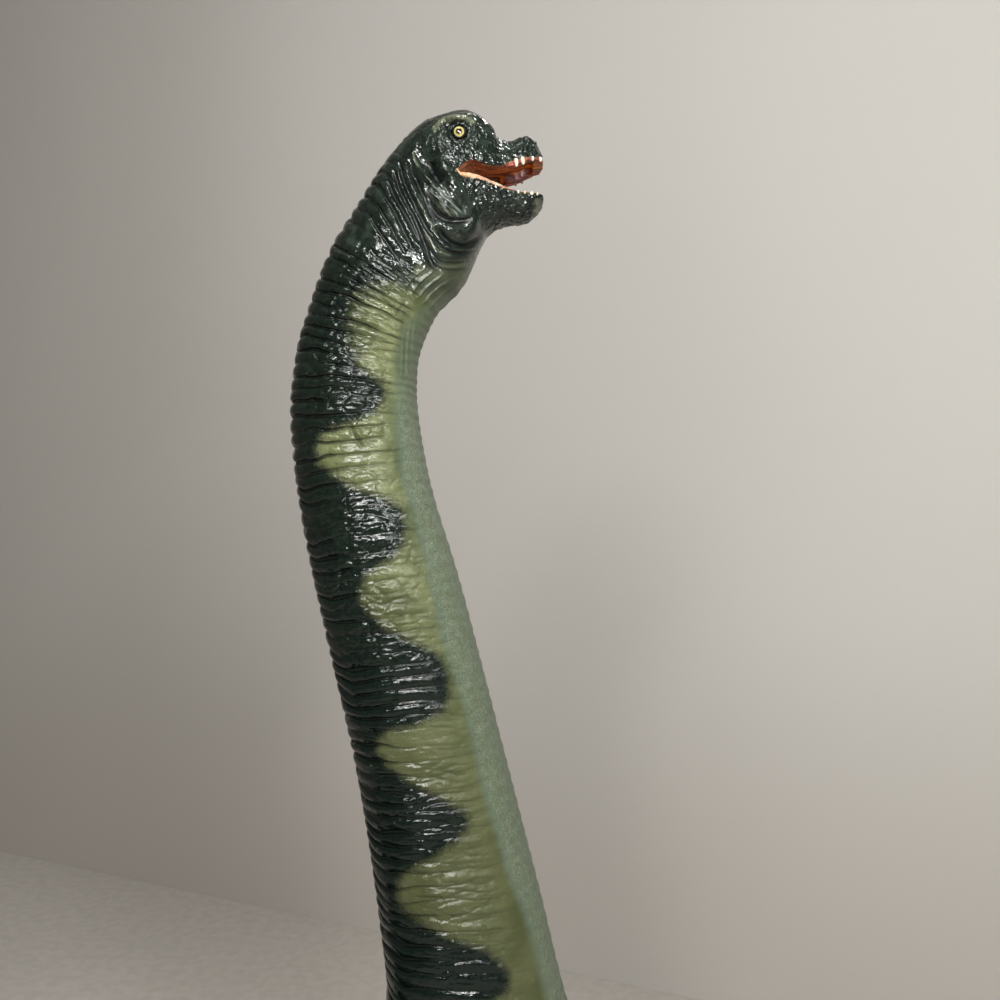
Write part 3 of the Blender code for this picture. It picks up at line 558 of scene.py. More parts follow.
def side_place(points):
    """Where a point lies on the side drawing of its flank: across and down."""
    reach = -STANDPOINT.y - np.abs(points[..., 1])
    across = DRAWING_SIZE / 2 + (points[..., 0] - STANDPOINT.x) / reach * DRAWING_SIZE
    down = DRAWING_SIZE / 2 - (points[..., 2] - STANDPOINT.z) / reach * DRAWING_SIZE
    return across, down


def stroke_distance(across, down, line):
    """Distance to a drawn line, and the share of the line where it is nearest."""
    line = np.asarray(line, float)
    lengths = np.linalg.norm(np.diff(line, axis=0), axis=1)
    run = run_of(lengths)
    nearest = np.full(across.shape, 1e9)
    share = np.zeros(across.shape)
    for start, end, length, passed in zip(line, line[1:], lengths, run):
        way = (end - start) / length
        along = np.clip((across - start[0]) * way[0] + (down - start[1]) * way[1], 0, length)
        apart = np.hypot(across - start[0] - along * way[0], down - start[1] - along * way[1])
        closer = apart < nearest
        share = np.where(closer, (passed + along) / run[-1], share)
        nearest = np.where(closer, apart, nearest)
    return nearest, share


def rounded(line, count=6):
    """A drawn line with its corners eased."""
    line = np.asarray(line, float)
    return smooth_rows(line, np.linspace(0, len(line) - 1, (len(line) - 1) * count + 1))


def stroke(across, down, line, width, taper=0.25):
    """1 along a drawn line, falling to 0 beside it and towards its ends."""
    apart, share = stroke_distance(across, down, rounded(line))
    ends = np.clip(np.minimum(share, 1 - share) / taper, 0, 1) ** 0.6 if taper else 1
    return np.exp(-(apart / width) ** 2) * ends


def stroked(across, down, strokes):
    """Height of the creases and ridges drawn on a flank, in metres."""
    height = np.zeros(across.shape)
    for line, width, rise in strokes:
        low, high = np.min(line, 0) - 4 * width, np.max(line, 0) + 4 * width
        near = (across > low[0]) & (across < high[0]) & (down > low[1]) & (down < high[1])
        height[near] += rise / 1000 * stroke(across[near], down[near], line, width)
    return height


def strongest(across, down, marks, taper):
    """Cover of the strongest of several sprayed marks at each place."""
    cover = np.zeros(across.shape)
    for line, width, strength in marks:
        cover = np.maximum(cover, strength * stroke(across, down, line, width, taper))
    return cover


def inside(across, down, outline):
    """How far inside a drawn outline a place lies, in millimetres. It is negative outside."""
    ring = np.array(outline + outline[:1])
    apart, _ = stroke_distance(across, down, ring)
    within = np.zeros(across.shape, bool)
    for (x0, y0), (x1, y1) in zip(ring, ring[1:]):
        crosses = (y0 > down) != (y1 > down)
        if y0 != y1:
            within ^= crosses & (across < (x1 - x0) * (down - y0) / (y1 - y0) + x0)
    return np.where(within, apart, -apart) * DRAWING_UNIT_MM


# ---- folds of the skin: a flow is how far a place lies along, aside and above, in metres

def wander(flow, along, across, seed, pattern=noise):
    """Noise over the skin whose bumps have the given length along and across, in metres."""
    return pattern(flow[0] / along, flow[1] / across, flow[2] / across, seed)


def ring_folds(flow, seed):
    """Rings between narrow creases that wander and fade: height (0 to -1), phase and depth."""
    run, aside, above = flow
    warp = 0.34 * wander(flow, 0.0070, 0.0110, seed) + 0.19 * wander(flow, 0.0026, 0.0036, seed + 5)
    phase = run / RING_PITCH + warp
    nearest = np.round(phase)
    uneven = noise(nearest * 3.7, aside / 0.0095, above / 0.0095, seed + 9)
    depth = 1.0 + RING_UNEVENNESS * 1.7 * uneven
    depth = np.clip(depth - 0.1 * RING_UNEVENNESS, 0.12, 1.30)
    return (np.sin(pi * np.abs(phase - nearest)) ** 0.60 - 1) * depth, phase, depth


def wrinkle_net(flow, seed, long, broad):
    """Crossing wrinkles: 0 on the lumps, -1 in the wrinkles."""
    run, aside, above = flow
    sway = 0.40 * wander(flow, 0.0030, 0.0045, seed + 3)
    near, far, own = cells(run / long + sway, aside / broad + sway, above / broad, seed)
    crease = np.exp(-((far - near) / 0.15) ** 1.2)
    return -crease * (0.30 + 0.9 * own) - 0.55 * near ** 2 + 0.35 * own


def soft_folds(flow, slope_run, pitch, seed):
    """Shallow waves, -1 to 1, that run slantwise over the flank."""
    return np.sin(2 * pi * (slope_run / pitch + 0.5 * wander(flow, 0.0100, 0.0110, seed)))


def at_station(rows, number):
    return np.interp(number, *zip(*rows))


def trunk_relief(points, number, turn):
    """Height of the sculpted skin over the plain neck and head, in metres, and its paint fields."""
    run = np.interp(number, TRUNK_PLACES, TRUNK_RUN)
    back = np.abs(turn) / pi
    girth = back * np.interp(number, TRUNK_PLACES, TRUNK_LINE[:, 3]) * GIRTH_SHARE
    aside, above = GIRTH_RADIUS * np.sin(turn), GIRTH_RADIUS * np.cos(turn)
    flow = (run, aside, above)
    # Where on the trunk a place is, from 0 to 1
    low = 1 - past(number, "above lower neck")
    high = past(number, "upper neck")
    on_head = past(number, "head")
    behind_jaw = past(number, "jaw root") * past(back, "jaw side")
    middle = past(number, "middle neck")
    flank = ease(back, 0.26 + 0.14 * middle, 0.50 + 0.14 * middle)
    belly = past(back, "throat")
    skull_back = past(number, "back of skull") * (1 - past(back, "off crown"))
    # Rings lean with their way round the neck
    drift = low * (-0.0020 * past(back, "off back") - 0.0022 * past(back, "leaning rings"))
    drift += (1 - low) * (0.02 - 0.16 * high) * girth
    ring_flow = (run - drift, aside, above)
    rings, phase, ring_depth = ring_folds(ring_flow, 11)
    ring_share = (1 - 0.7 * skull_back) * (1 - at_station(FLANK_CALM, number) * flank)
    ring_share = ring_share * (1 - 0.95 * belly) * (1 - on_head) * (1 - 0.85 * behind_jaw)
    long_net = 1 - past(number, "short net")
    net = wrinkle_net(ring_flow, 23, 0.0021, 0.0030) * (1 - long_net)
    net += wrinkle_net(ring_flow, 27, 0.0018, 0.0078) * long_net
    net_share = past(back, "net") * (1 - past(back, "below net"))
    net_share = net_share * (1 - on_head) * (1 - 0.6 * behind_jaw)
    net_share = net_share * np.clip(0.80 + 0.7 * wander(flow, 0.010, 0.010, 71), 0.3, 1.3)
    net_share = net_share * at_station(FLANK_NET, number)
    folds = soft_folds(flow, run + 0.16 * girth, 0.0033, 41)
    crumple = 1 - 2.2 * np.abs(noise(*(points.T / [[0.0013], [0.0013], [0.0010]]), 51))
    band_rings = np.sin(2 * pi * (run / 0.0031 + 0.5 * wander(flow, 0.01, 0.01, 61)))
    height = RING_HEIGHT * rings * ring_share
    height += NET_HEIGHT * net * net_share
    height += (SOFT_FOLD_HEIGHT * folds * past(back, "folded flank") * (1 - belly)
               * (1 - past(number, "above folds")))
    height += (CRUMPLE_HEIGHT * crumple * (0.3 + 0.9 * np.minimum(net_share, 1))
               * (1 - 0.7 * belly))
    height += BAND_RING_HEIGHT * band_rings * belly * (1 - past(number, "above band rings"))
    across, down = side_place(points)
    drawn = stroked(across, down, NECK_STROKES)
    head = number > HEAD_LINES_FROM
    drawn[head] += head_strokes(across[head], down[head], number[head])
    height += drawn
    # relief is 1 on the folds and lower in creases and drawn grooves; the finish paints wash and
    # painted shade where it is low
    relief = 1 + rings * ring_share * 0.5 + net * net_share * 0.68 + np.minimum(drawn, 0) / 0.0006
    dark = inside(across, down, DARK_EDGE + [(60, 1264), (60, 40), (700, 40), (700, 268)])
    satin_from = at_station(SATIN_FROM, number)
    lumps = np.clip(0.35 + 0.8 * net_share + 0.5 * on_head - 0.9 * belly, 0, 1)
    return height, {"run": run, "aside": aside, "above": above, "relief": np.clip(relief, 0, 1),
                    "dark": dark * (1 - 0.55 * past(number, "thin spray")),
                    "band": inside(across, down, BAND_EDGE + [(900, 1160), (900, 286)]),
                    "phase": phase, "ring": ring_depth * ring_share, "lumps": lumps,
                    "shade": strongest(across, down, SHADES, 0.1),
                    "satin": ease(back, satin_from - 0.07, satin_from + 0.07) * (number <= 11.5)}


def head_strokes(across, down, number):
    """Sculpted lines of head and throat, the eye's lids and the nostril, in metres."""
    height = stroked(across, down, HEAD_STROKES)
    from_eye = np.hypot(across - EYE_ON_DRAWING[0], (down - EYE_ON_DRAWING[1]) * 0.98)
    height += 0.00034 * hump(from_eye, 9.4, 2.0) - 0.00020 * hump(from_eye, 12.6, 1.4)
    from_nostril = np.hypot(across - NOSTRIL[0], (down - NOSTRIL[1]) * 1.5)
    height -= 0.00050 * hump(from_nostril, 0, 2.2)
    return height * ease(number, HEAD_LINES_FROM, 9.0)


# ---- meshes

def placed(name, data):
    """A new object in the scene."""
    piece = bpy.data.objects.new(name, data)
    bpy.context.scene.collection.objects.link(piece)
    return piece


def put_attribute(mesh, name, values):
    kind, key = ("FLOAT_VECTOR", "vector") if values.ndim == 2 else ("FLOAT", "value")
    layer = mesh.attributes.new(name, kind, "POINT")
    layer.data.foreach_set(key, np.asarray(values, np.float32).ravel())


def store_fields(mesh, fields):
    flow = [fields.pop(key) for key in ("run", "aside", "above")]
    put_attribute(mesh, "flow", np.stack(flow, -1))
    for key, values in fields.items():
        put_attribute(mesh, key, values)


def mesh_object(name, points, faces):
    """An object from points and a list of face arrays."""
    mesh = bpy.data.meshes.new(name)
    sizes = np.concatenate([np.full(len(part), part.shape[1]) for part in faces])
    corners = np.concatenate([part.ravel() for part in faces])
    for items, count, key, values in (
            (mesh.vertices, len(points), "co", np.asarray(points, np.float32).ravel()),
            (mesh.loops, len(corners), "vertex_index", corners.astype(np.int32)),
            (mesh.polygons, len(sizes), "loop_start", run_of(sizes)[:-1].astype(np.int32))):
        items.add(count)
        items.foreach_set(key, values)
    mesh.polygons.foreach_set("loop_total", sizes.astype(np.int32))
    mesh.update(calc_edges=True)
    mesh.validate()
    mesh.shade_smooth()
    return placed(name, mesh)


def closed_grid(name, points):
    """A tube of rings closed by a fan at each end, its faces pointing out."""
    rows, sides = points.shape[:2]
    index = np.arange(rows * sides).reshape(rows, sides)
    after = np.roll(index, -1, 1)
    quads = np.stack([index[:-1], after[:-1], after[1:], index[1:]], -1).reshape(-1, 4)
    low = np.stack([after[0], index[0], np.full(sides, rows * sides)], -1)
    high = np.stack([index[-1], after[-1], np.full(sides, rows * sides + 1)], -1)
    everything = np.vstack([points.reshape(-1, 3), points[0].mean(0), points[-1].mean(0)])
    a, b, c = (everything[quads[:, k]] for k in (0, 1, 2))
    faces = [quads, low, high]
    if np.sum(np.cross(b - a, c - a) * (a - everything.mean(0))) < 0:
        faces = [part[:, ::-1] for part in faces]
    return mesh_object(name, everything, faces)


def with_ends(values):
    """Grid values laid out for the mesh, with one more for each end's middle."""
    flat = values.reshape(-1, values.shape[-1]) if values.ndim == 3 else values.ravel()
    return np.concatenate([flat, flat[:1], flat[-1:]])


def vertex_values(mesh, key):
    values = np.empty(len(mesh.vertices) * 3, np.float32)
    mesh.vertices.foreach_get(key, values)
    return values.reshape(-1, 3).astype(float)


def changed(piece, kind, **settings):
    """A piece with one modifier worked into its mesh."""
    modifier = piece.modifiers.new(kind, kind)
    for key, value in settings.items():
        setattr(modifier, key, value)
    graph = bpy.context.evaluated_depsgraph_get()
    mesh = bpy.data.meshes.new_from_object(piece.evaluated_get(graph))
    piece.modifiers.clear()
    piece.data = mesh
    return piece


def cut(piece, tool, operation):
    changed(piece, "BOOLEAN", operation=operation, object=tool)
    bpy.data.objects.remove(tool, do_unlink=True)


def ready(piece, material, slot_name, *nodes):
    """Gives a piece its material and its body and hides the nodes that it stands for; slot_name is
    not used.
    """
    piece.data.materials.clear()
    piece.data.materials.append(material)
    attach(piece, "root")
    if nodes:
        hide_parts(*nodes)
    return piece


def swelled(points, table, place_of, from_midline, width, depth):
    """Skin points pushed out by round swells, whose sizes are shares of width and depth."""
    push = np.zeros(points.shape[:-1])
    for ahead, rise, out, reach, amount in table:
        forward, up = place_of(ahead, rise)
        apart = np.sqrt((points[..., 0] - forward) ** 2
                        + (np.abs(points[..., 1]) - (from_midline + out * width)) ** 2
                        + (points[..., 2] - up) ** 2) / (reach * depth)
        push += amount * depth * np.maximum(0, 1 - apart ** 2) ** 2
    return points + grid_normals(points) * push[..., None]


def head_swelled(points):
    return swelled(points, HEAD_SWELL_SHARES, head_point, 0, HEAD_WIDTH, HEAD_DEPTH)


def even_places(low, high, step):
    """Station numbers whose skin rows lie a step apart."""
    run = np.maximum(TRUNK_RUN, (TRUNK_RUN + edge_run(TRUNK_LINE, -1)) / 2)
    start, end = np.interp([low, high], TRUNK_PLACES, run)
    count = max(2, int(round((end - start) / step)))
    return np.interp(np.linspace(start, end, count + 1), run, TRUNK_PLACES)


def neck_pieces(names, low, high, material):
    """The neck's skin in pieces that share their edge rows, with the normals of the whole."""
    places = even_places(low, high, NECK_STEP)
    turns = oval_turns(NECK_SIDES)
    points = head_swelled(ring_points(smooth_rows(TRUNK, places), turns))
    height, fields = trunk_relief(points.reshape(-1, 3), np.repeat(places, NECK_SIDES),
                                  np.tile(half_turns(turns), len(places)))
    points = points + grid_normals(points) * height.reshape(len(places), NECK_SIDES, 1)
    normals = grid_normals(points)
    cuts = np.linspace(0, len(places) - 1, len(names) + 1).round().astype(int)
    for name, first, last in zip(names, cuts, cuts[1:]):
        rows = slice(first, last + 1)
        piece = closed_grid(name, points[rows])
        store_fields(piece.data, {key: with_ends(values.reshape(len(places), NECK_SIDES)[rows])
                                  for key, values in fields.items()})
        piece.data.normals_split_custom_set_from_vertices(with_ends(normals[rows]))
        ready(piece, material, "neck_vinyl", "head_and_neck")


# ---- head

def mouth_point(ahead, rise):
    """A place in the side view of the mouth, in shares of its depth and gape from its corner."""
    corner_x, corner_z = head_point(*MOUTH_CORNER_SHARES)
    return corner_x + ahead * MOUTH_DEPTH, corner_z + rise * MOUTH_GAPE


def prism(name, outline):
    """A flat side outline made solid across the head."""
    return closed_grid(name, np.array([[(forward, out, up) for forward, up in outline]
                                       for out in (-HEAD_WIDTH, HEAD_WIDTH)]))


def between_lips(upper, lower, roof_rise=0, floor_drop=0):
    """Outline of the room between an upper and a lower row of mouth shares."""
    roof = [mouth_point(*place) for place in rounded(upper)]
    floor = [mouth_point(*place) for place in rounded(lower)[::-1]]
    return [(x, z + roof_rise) for x, z in roof] + [(x, z - floor_drop) for x, z in floor]


def head_sculpt():
    """Plain head with its mouth cut open, on an even mesh."""
    places = np.concatenate([even_places(CUT_STATION, 12, 0.0005),
                             np.linspace(12, len(TRUNK) - 1, 150)[1:]])
    plain = ring_points(smooth_rows(TRUNK, places), oval_turns(HEAD_SIDES))
    piece = closed_grid("head", head_swelled(plain))
    gap = between_lips(LIP_LINE_SHARES, [(0.02, -0.14), (0.17, -0.15)] + LOWER_LIP_SHARES[1:])
    cut(piece, prism("mouth_gap", gap), "DIFFERENCE")
    inner = smooth_rows(head_stations()[:-1], np.linspace(0, len(HEAD_SHARES) - 2, 60))
    inner[:, 3:] -= 2 * LIP_THICKNESS
    hollow = closed_grid("mouth_hollow", ring_points(inner, oval_turns(48)))
    room = between_lips(LIP_LINE_SHARES[2:-2], LOWER_LIP_SHARES[:-1], PALATE_RISE, JAW_HOLLOW)
    cut(hollow, prism("mouth_band", room), "INTERSECT")
    cut(piece, hollow, "DIFFERENCE")
    cut(piece, tongue(), "UNION")
    for flank in (1, -1):
        socket = bead("eye_socket", eye_place(flank), EYE_RADIUS + SEAM_GAP, 24, 16)
        cut(piece, socket, "DIFFERENCE")
    changed(piece, "REMESH", mode="VOXEL", voxel_size=HEAD_VOXEL)
    return changed(piece, "SMOOTH", factor=0.5, iterations=4)


def tongue():
    """A low blunt tongue with a groove, lying in the lower jaw."""
    places = np.linspace(0, 1, 24)
    swelling = np.sin(pi * np.clip(places * 0.97 + 0.02, 0, 1)) ** 0.45
    start, end = mouth_point(0.12, 0)[0], mouth_point(0.80, 0)[0]
    stations = []
    for share, size in zip(places, swelling):
        low = mouth_point(0, at_station(LOWER_LIP_SHARES, 0.12 + 0.68 * share))[1]
        stations.append((start + (end - start) * share, low - JAW_HOLLOW * 0.75, 88,
                         TONGUE_DEPTH * size, TONGUE_WIDTH * size))
    turns = oval_turns(28)
    points = ring_points(stations, turns, roundness=2.2)
    points[..., 2] -= 0.0005 * hump(points[..., 1], 0, 0.0007) * (np.cos(turns) > 0)
    return closed_grid("tongue", points)


def half_width_at(forward, up):
    """How far the head's skin lies from the midline at a place in the side view."""
    stations = smooth_rows(head_stations(), np.linspace(0, len(HEAD_SHARES) - 1, 97))
    lean = np.radians(stations[:, 2])
    off_plane = np.abs((forward - stations[:, 0]) * np.sin(lean)
                       + (up - stations[:, 1]) * np.cos(lean))
    at = off_plane.argmin()
    middle_x, middle_z, _, depth, width = stations[at]
    toward = (up - middle_z) * sin(lean[at]) - (forward - middle_x) * cos(lean[at])
    toward /= depth / 2
    shape = BACK_ROUNDNESS if toward > 0 else BELLY_SQUARENESS
    return max(0, 1 - abs(toward) ** shape) ** (1 / shape) * width / 2


def eye_place(flank):
    forward, up = head_point(*EYE_SHARES)
    return Vector((forward, flank * (half_width_at(forward, up) + EYE_STANDOUT - EYE_RADIUS), up))


def bead(name, centre, radius, segments, rings):
    """A round bead whose poles point out of the flank."""
    polar = np.linspace(0.02, pi - 0.02, rings)
    turns = 2 * pi * np.arange(segments) / segments
    points = np.empty((rings, segments, 3))
    points[..., 0] = centre.x + radius * np.sin(polar)[:, None] * np.cos(turns)
    points[..., 1] = centre.y + radius * np.cos(polar)[:, None]
    points[..., 2] = centre.z + radius * np.sin(polar)[:, None] * np.sin(turns)
    return closed_grid(name, points)


def make_head(material):
    """Head with its sculpted lines, pebbled scales and the fields of its mouth paint."""
    piece = head_sculpt()
    points, normals = (vertex_values(piece.data, key) for key in ("co", "normal"))
    number, turn, closeness = trunk_place(points)
    height, fields = trunk_relief(points, number, turn)
    across, down = side_place(points)
    corner_x, corner_z = mouth_point(0, 0)
    forward, up = points[:, 0], points[:, 2]
    inner = ease(1 - closeness, 0.035, 0.09) * ease(forward, corner_x - 0.0006, corner_x + 0.0004)
    seam_face = (number < CUT_STATION + 0.05) & (closeness < 0.9)
    height = np.where(seam_face, 0, height) * (1 - inner)
    palate = np.sin(points[:, 1] / 0.00055) * 0.00010 + 0.00010 * noise(
        forward / 0.0040, points[:, 1] / 0.0007, up / 0.002, 5)
    height += palate * inner
    rim = ease(inside(across, down, LIP_PAINT), -0.12, 0.12) * ease(closeness, 0.5, 0.8)
    flesh = np.maximum(inner, rim)
    scales = past(number, "scaled head") * (1 - inner) * (1 - np.clip(
        stroke(across, down, SMOOTH_CHEEK, 17, 0), 0, 1))
    crown = stroke(across, down, SMOOTH_CROWN, 7.5, 0)
    scales = scales * (1 - 0.85 * crown)
    pebbles = points.T / 0.00105 + 0.3 * noise(*(points.T / 0.0012), 81)
    near, _, own = cells(*pebbles, 83)
    height += scales * (0.00022 * own - 0.00024 * near) * (1 - flesh)
    on_jaw = (1.3 * ease(corner_z - up, 0.0002, 0.0022)
              * ease(forward, corner_x - 0.002, corner_x + 0.002))
    fields.update({"lumps": fields["lumps"] * (1 - 0.7 * crown), "flesh": flesh, "rim": rim,
                   "scales": scales * (1 + on_jaw),
                   "tint_and_highlight": strongest(across, down, TINTS_AND_HIGHLIGHTS, 0.12),
                   "pad": stroke(across, down, JAW_PAD, 8, 0.1),
                   "pale_flesh": np.clip(1.15 - (forward - corner_x) / 0.0085, 0, 1),
                   "gum": ease(up - corner_z, 0.0008, 0.0014)})
    points += normals * height[:, None]
    mesh = piece.data
    mesh.vertices.foreach_set("co", points.astype(np.float32).ravel())
    mesh.update()
    store_fields(mesh, fields)
    mesh.calc_loop_triangles()
    changed(piece, "DECIMATE", ratio=min(1, HEAD_FACE_LIMIT / len(mesh.loop_triangles)))
    piece.data.shade_smooth()
    return ready(piece, material, "neck_vinyl", "head_and_neck")


# ---- torso, tail and legs

def wave(place, seed):
    """A row of rounded lobes of uneven size, from 0 to 1."""
    sway = place + 0.22 * noise(place * 0.7, 0.5, 0.5, seed)
    size = 0.85 + 0.25 * noise(np.floor(sway) * 1.7, 0.5, 0.5, seed + 1)
    return (0.5 - 0.5 * np.cos(2 * pi * sway)) ** 0.8 * size


def body_relief(run, turn, half_girth, radius, seed, lobes, coarse):
    """Folds and paint of body skin: rings on the back, a net on the flank, plates below."""
    back = np.abs(turn) / pi
    aside, above = radius * np.sin(turn), radius * np.cos(turn)
    flow = (run, aside, above)
    rings, phase, ring_depth = ring_folds((run / coarse, aside, above), seed)
    net = wrinkle_net(flow, seed + 13, 0.0028 * coarse, 0.0044 * coarse)
    plates = ring_folds((run / (1.35 * coarse), aside / 3, above / 3), seed + 29)[0]
    flank = past(back, "body flank")
    belly = past(back, "body belly")
    folds = soft_folds(flow, run - 0.35 * back * half_girth, 0.0062 * coarse, seed + 41)
    height = RING_HEIGHT * rings * (1 - 0.85 * flank)
    height = height + 1.25 * NET_HEIGHT * net * flank * (1 - 0.75 * belly)
    height = height + 0.00022 * folds * flank * (1 - belly) + 0.00022 * plates * belly
    height = height + 0.00012 * wander(flow, 0.0016, 0.0020, seed + 51, clouds)
    relief = 1 + rings * (1 - flank) * 0.9 + net * flank * 0.6 + plates * belly * 0.4
    pitch, notch, reach = lobes
    edge = notch + (reach - notch) * wave(run / pitch, seed)
    return height, {"run": run, "aside": aside, "above": above, "relief": np.clip(relief, 0, 1),
                    "dark": (edge - back) * half_girth * 1000,
                    "band": (back - 0.80) * half_girth * 1000, "phase": phase,
                    "ring": ring_depth * (1 - flank), "shade": 0 * back,
                    "satin": 0.5 * past(back, "body satin"),
                    "lumps": np.clip(0.35 + 0.6 * flank - 0.8 * belly, 0, 1)}


def tube_rows(stations, step):
    """Sections a step apart, and how far the line has run at each."""
    fine_places = np.linspace(0, len(stations) - 1, 1601)
    line = smooth_rows(stations, fine_places)
    middle_run = run_of(np.hypot(np.diff(line[:, 0]), np.diff(line[:, 1])))
    run = np.maximum(edge_run(line, 1), 1e-9 + middle_run)
    even_run = np.linspace(0, run[-1], max(2, int(round(run[-1] / step))) + 1)
    return smooth_rows(stations, np.interp(even_run, run, fine_places)), even_run


def half_girths(line):
    """Half the way round each section, taken as an ellipse."""
    depth, width = line[:, 3], line[:, 4]
    return pi * (3 * (depth + width) - np.sqrt((3 * depth + width) * (depth + 3 * width))) / 4


def body_tube(stations, step, sides, *looks):
    """Skin points of a tube with their normals, line, run, folds and paint fields."""
    line, run = tube_rows(stations, step)
    turns = oval_turns(sides)
    points = ring_points(line, turns)
    girth = half_girths(line)[:, None]
    height, fields = body_relief(run[:, None], half_turns(turns)[None] + 0 * girth, girth, *looks)
    return points, grid_normals(points), line, run, height, fields


def body_skin(name, points, fields, material, slot_name, node):
    """A finished tube of skin with its paint fields."""
    piece = closed_grid(name, points)
    grid = np.zeros(points.shape[:-1])
    store_fields(piece.data, {key: with_ends(values + grid) for key, values in fields.items()})
    return ready(piece, material, slot_name, node)


def leg_stations(kind, step):
    """Sections of a leg from its sole up, with the lower leg moved by its stride."""
    height, depth, width, behind, stride, table, _ = LEG_SIZES[kind]
    middle = CHEST_AHEAD_OF_ORIGIN - behind
    return [(middle + ahead * depth + step * stride * (1 - rise) ** 1.2, rise * height, 0,
             deep * depth, wide * width) for ahead, rise, deep, wide in table]


def leg_line(kind, step, heights):
    """Centre forward, half depth and half width of a leg at given heights."""
    stations = leg_stations(kind, step)
    line = smooth_rows(stations, np.linspace(0, len(stations) - 1, 400))
    order = np.maximum.accumulate(line[:, 1])
    return [np.interp(heights, order, values)
            for values in (line[:, 0], line[:, 3] / 2, line[:, 4] / 2)]


def seat_sink(points):
    """How far the torso's skin draws in under each leg, and the groove round the leg's edge."""
    sink = np.zeros(points.shape[:-1])
    for _, kind, flank, step in LEGS:
        centre, deep, wide = leg_line(kind, step, points[..., 2])
        radial = np.hypot((points[..., 0] - centre) / deep,
                          (points[..., 1] - flank * LEG_FROM_MIDLINE) / wide)
        radial = np.where(points[..., 2] > LEG_SIZES[kind][0], 9, radial)
        own = 0.0012 * (1 - ease(radial, 0.86, 0.97)) + 0.0006 * hump(radial, 1.02, 0.035)
        sink = np.maximum(sink, own)
    return sink


def leg_shade(points):
    """How far inside the dark paint round a leg's top a place on the torso lies, in millimetres."""
    shade = np.full(points.shape[:-1], -99.0)
    forward, out, up = np.moveaxis(points, -1, 0)
    for _, kind, flank, step in LEGS:
        height, depth = LEG_SIZES[kind][:2]
        centre = leg_line(kind, step, height * 0.85)[0]
        sway = 1 + 0.22 * noise(forward / 0.008, up / 0.008, 0.5 * flank, 311)
        apart = np.hypot((forward - centre) / (0.60 * depth),
                         (up - height * 0.96) / (0.34 * height))
        shade = np.maximum(shade, np.where(out * flank > 0, (sway - apart) * 16, -99))
    return shade


def make_torso(material):
    points, normals, _, run, height, fields = body_tube(torso_stations(), *TORSO_TUBE)
    across, down = side_place(points)
    drawn = inside(across, down, DARK_EDGE + [(60, 1264), (60, 700), (700, 700)])
    near_neck = 1 - ease(run[:, None] + 0 * height, 0.004, 0.030)
    dark = fields["dark"] * (1 - near_neck) + drawn * near_neck
    fields["dark"] = np.maximum(dark, leg_shade(points))
    shoulder = 0.0007 * clouds(*np.moveaxis(points / [0.022, 0.022, 0.016], -1, 0), 7)
    seams = 0.0010 * (hump(run, 0, 0.0009) + hump(run, run[-1], 0.0009))[:, None]
    height = height + shoulder - seat_sink(points) - seams - 0.0002
    return body_skin("torso_skin", points + normals * height[..., None], fields,
                     material, "torso_vinyl", "torso")


def make_tail(material):
    points, normals, line, run, height, fields = body_tube(tail_stations(), *TAIL_TUBE)
    slim = np.clip(line[:, 3] / 0.020, 0.12, 1)[:, None]
    height = height * slim - 0.0008 * hump(run, 0, 0.0008)[:, None]
    return body_skin("tail_skin", points + normals * height[..., None], fields,
                     material, "tail_vinyl", "tail")


def make_leg(name, kind, flank, step, material, seed):
    tall, depth, width, behind, stride, _, swells = LEG_SIZES[kind]
    stations = leg_stations(kind, step)
    fine = np.linspace(0, len(stations) - 1, 1200)
    line = smooth_rows(stations, fine)
    run = run_of(np.hypot(np.hypot(np.diff(line[:, 0]), np.diff(line[:, 1])),
                          np.diff(line[:, 3]) / 2))
    line = smooth_rows(stations, np.interp(np.linspace(0, run[-1], LEG_ROWS), run, fine))
    line[:, 1] = np.maximum(line[:, 1], 0)
    turns = 2 * pi * np.arange(LEG_SIDES) / LEG_SIDES
    points = ring_points(line, turns, flank * LEG_FROM_MIDLINE, LEG_ROUNDNESS)

    def swell_place(ahead, rise):
        forward = CHEST_AHEAD_OF_ORIGIN - behind + ahead * depth + step * stride * (1 - rise)
        return forward, rise * tall

    points = swelled(points, swells, swell_place, LEG_FROM_MIDLINE, width, depth)
    normals = grid_normals(points)
    height, fields = leg_relief(points, turns, tall, flank, seed)
    grounded = ease(points[..., 2], 0.0002, 0.0030)
    points = points + normals * (height * grounded)[..., None]
    points[..., 2] = np.maximum(points[..., 2], 0)
    return body_skin(name + "_skin", points, fields, material, "leg_vinyl", name)


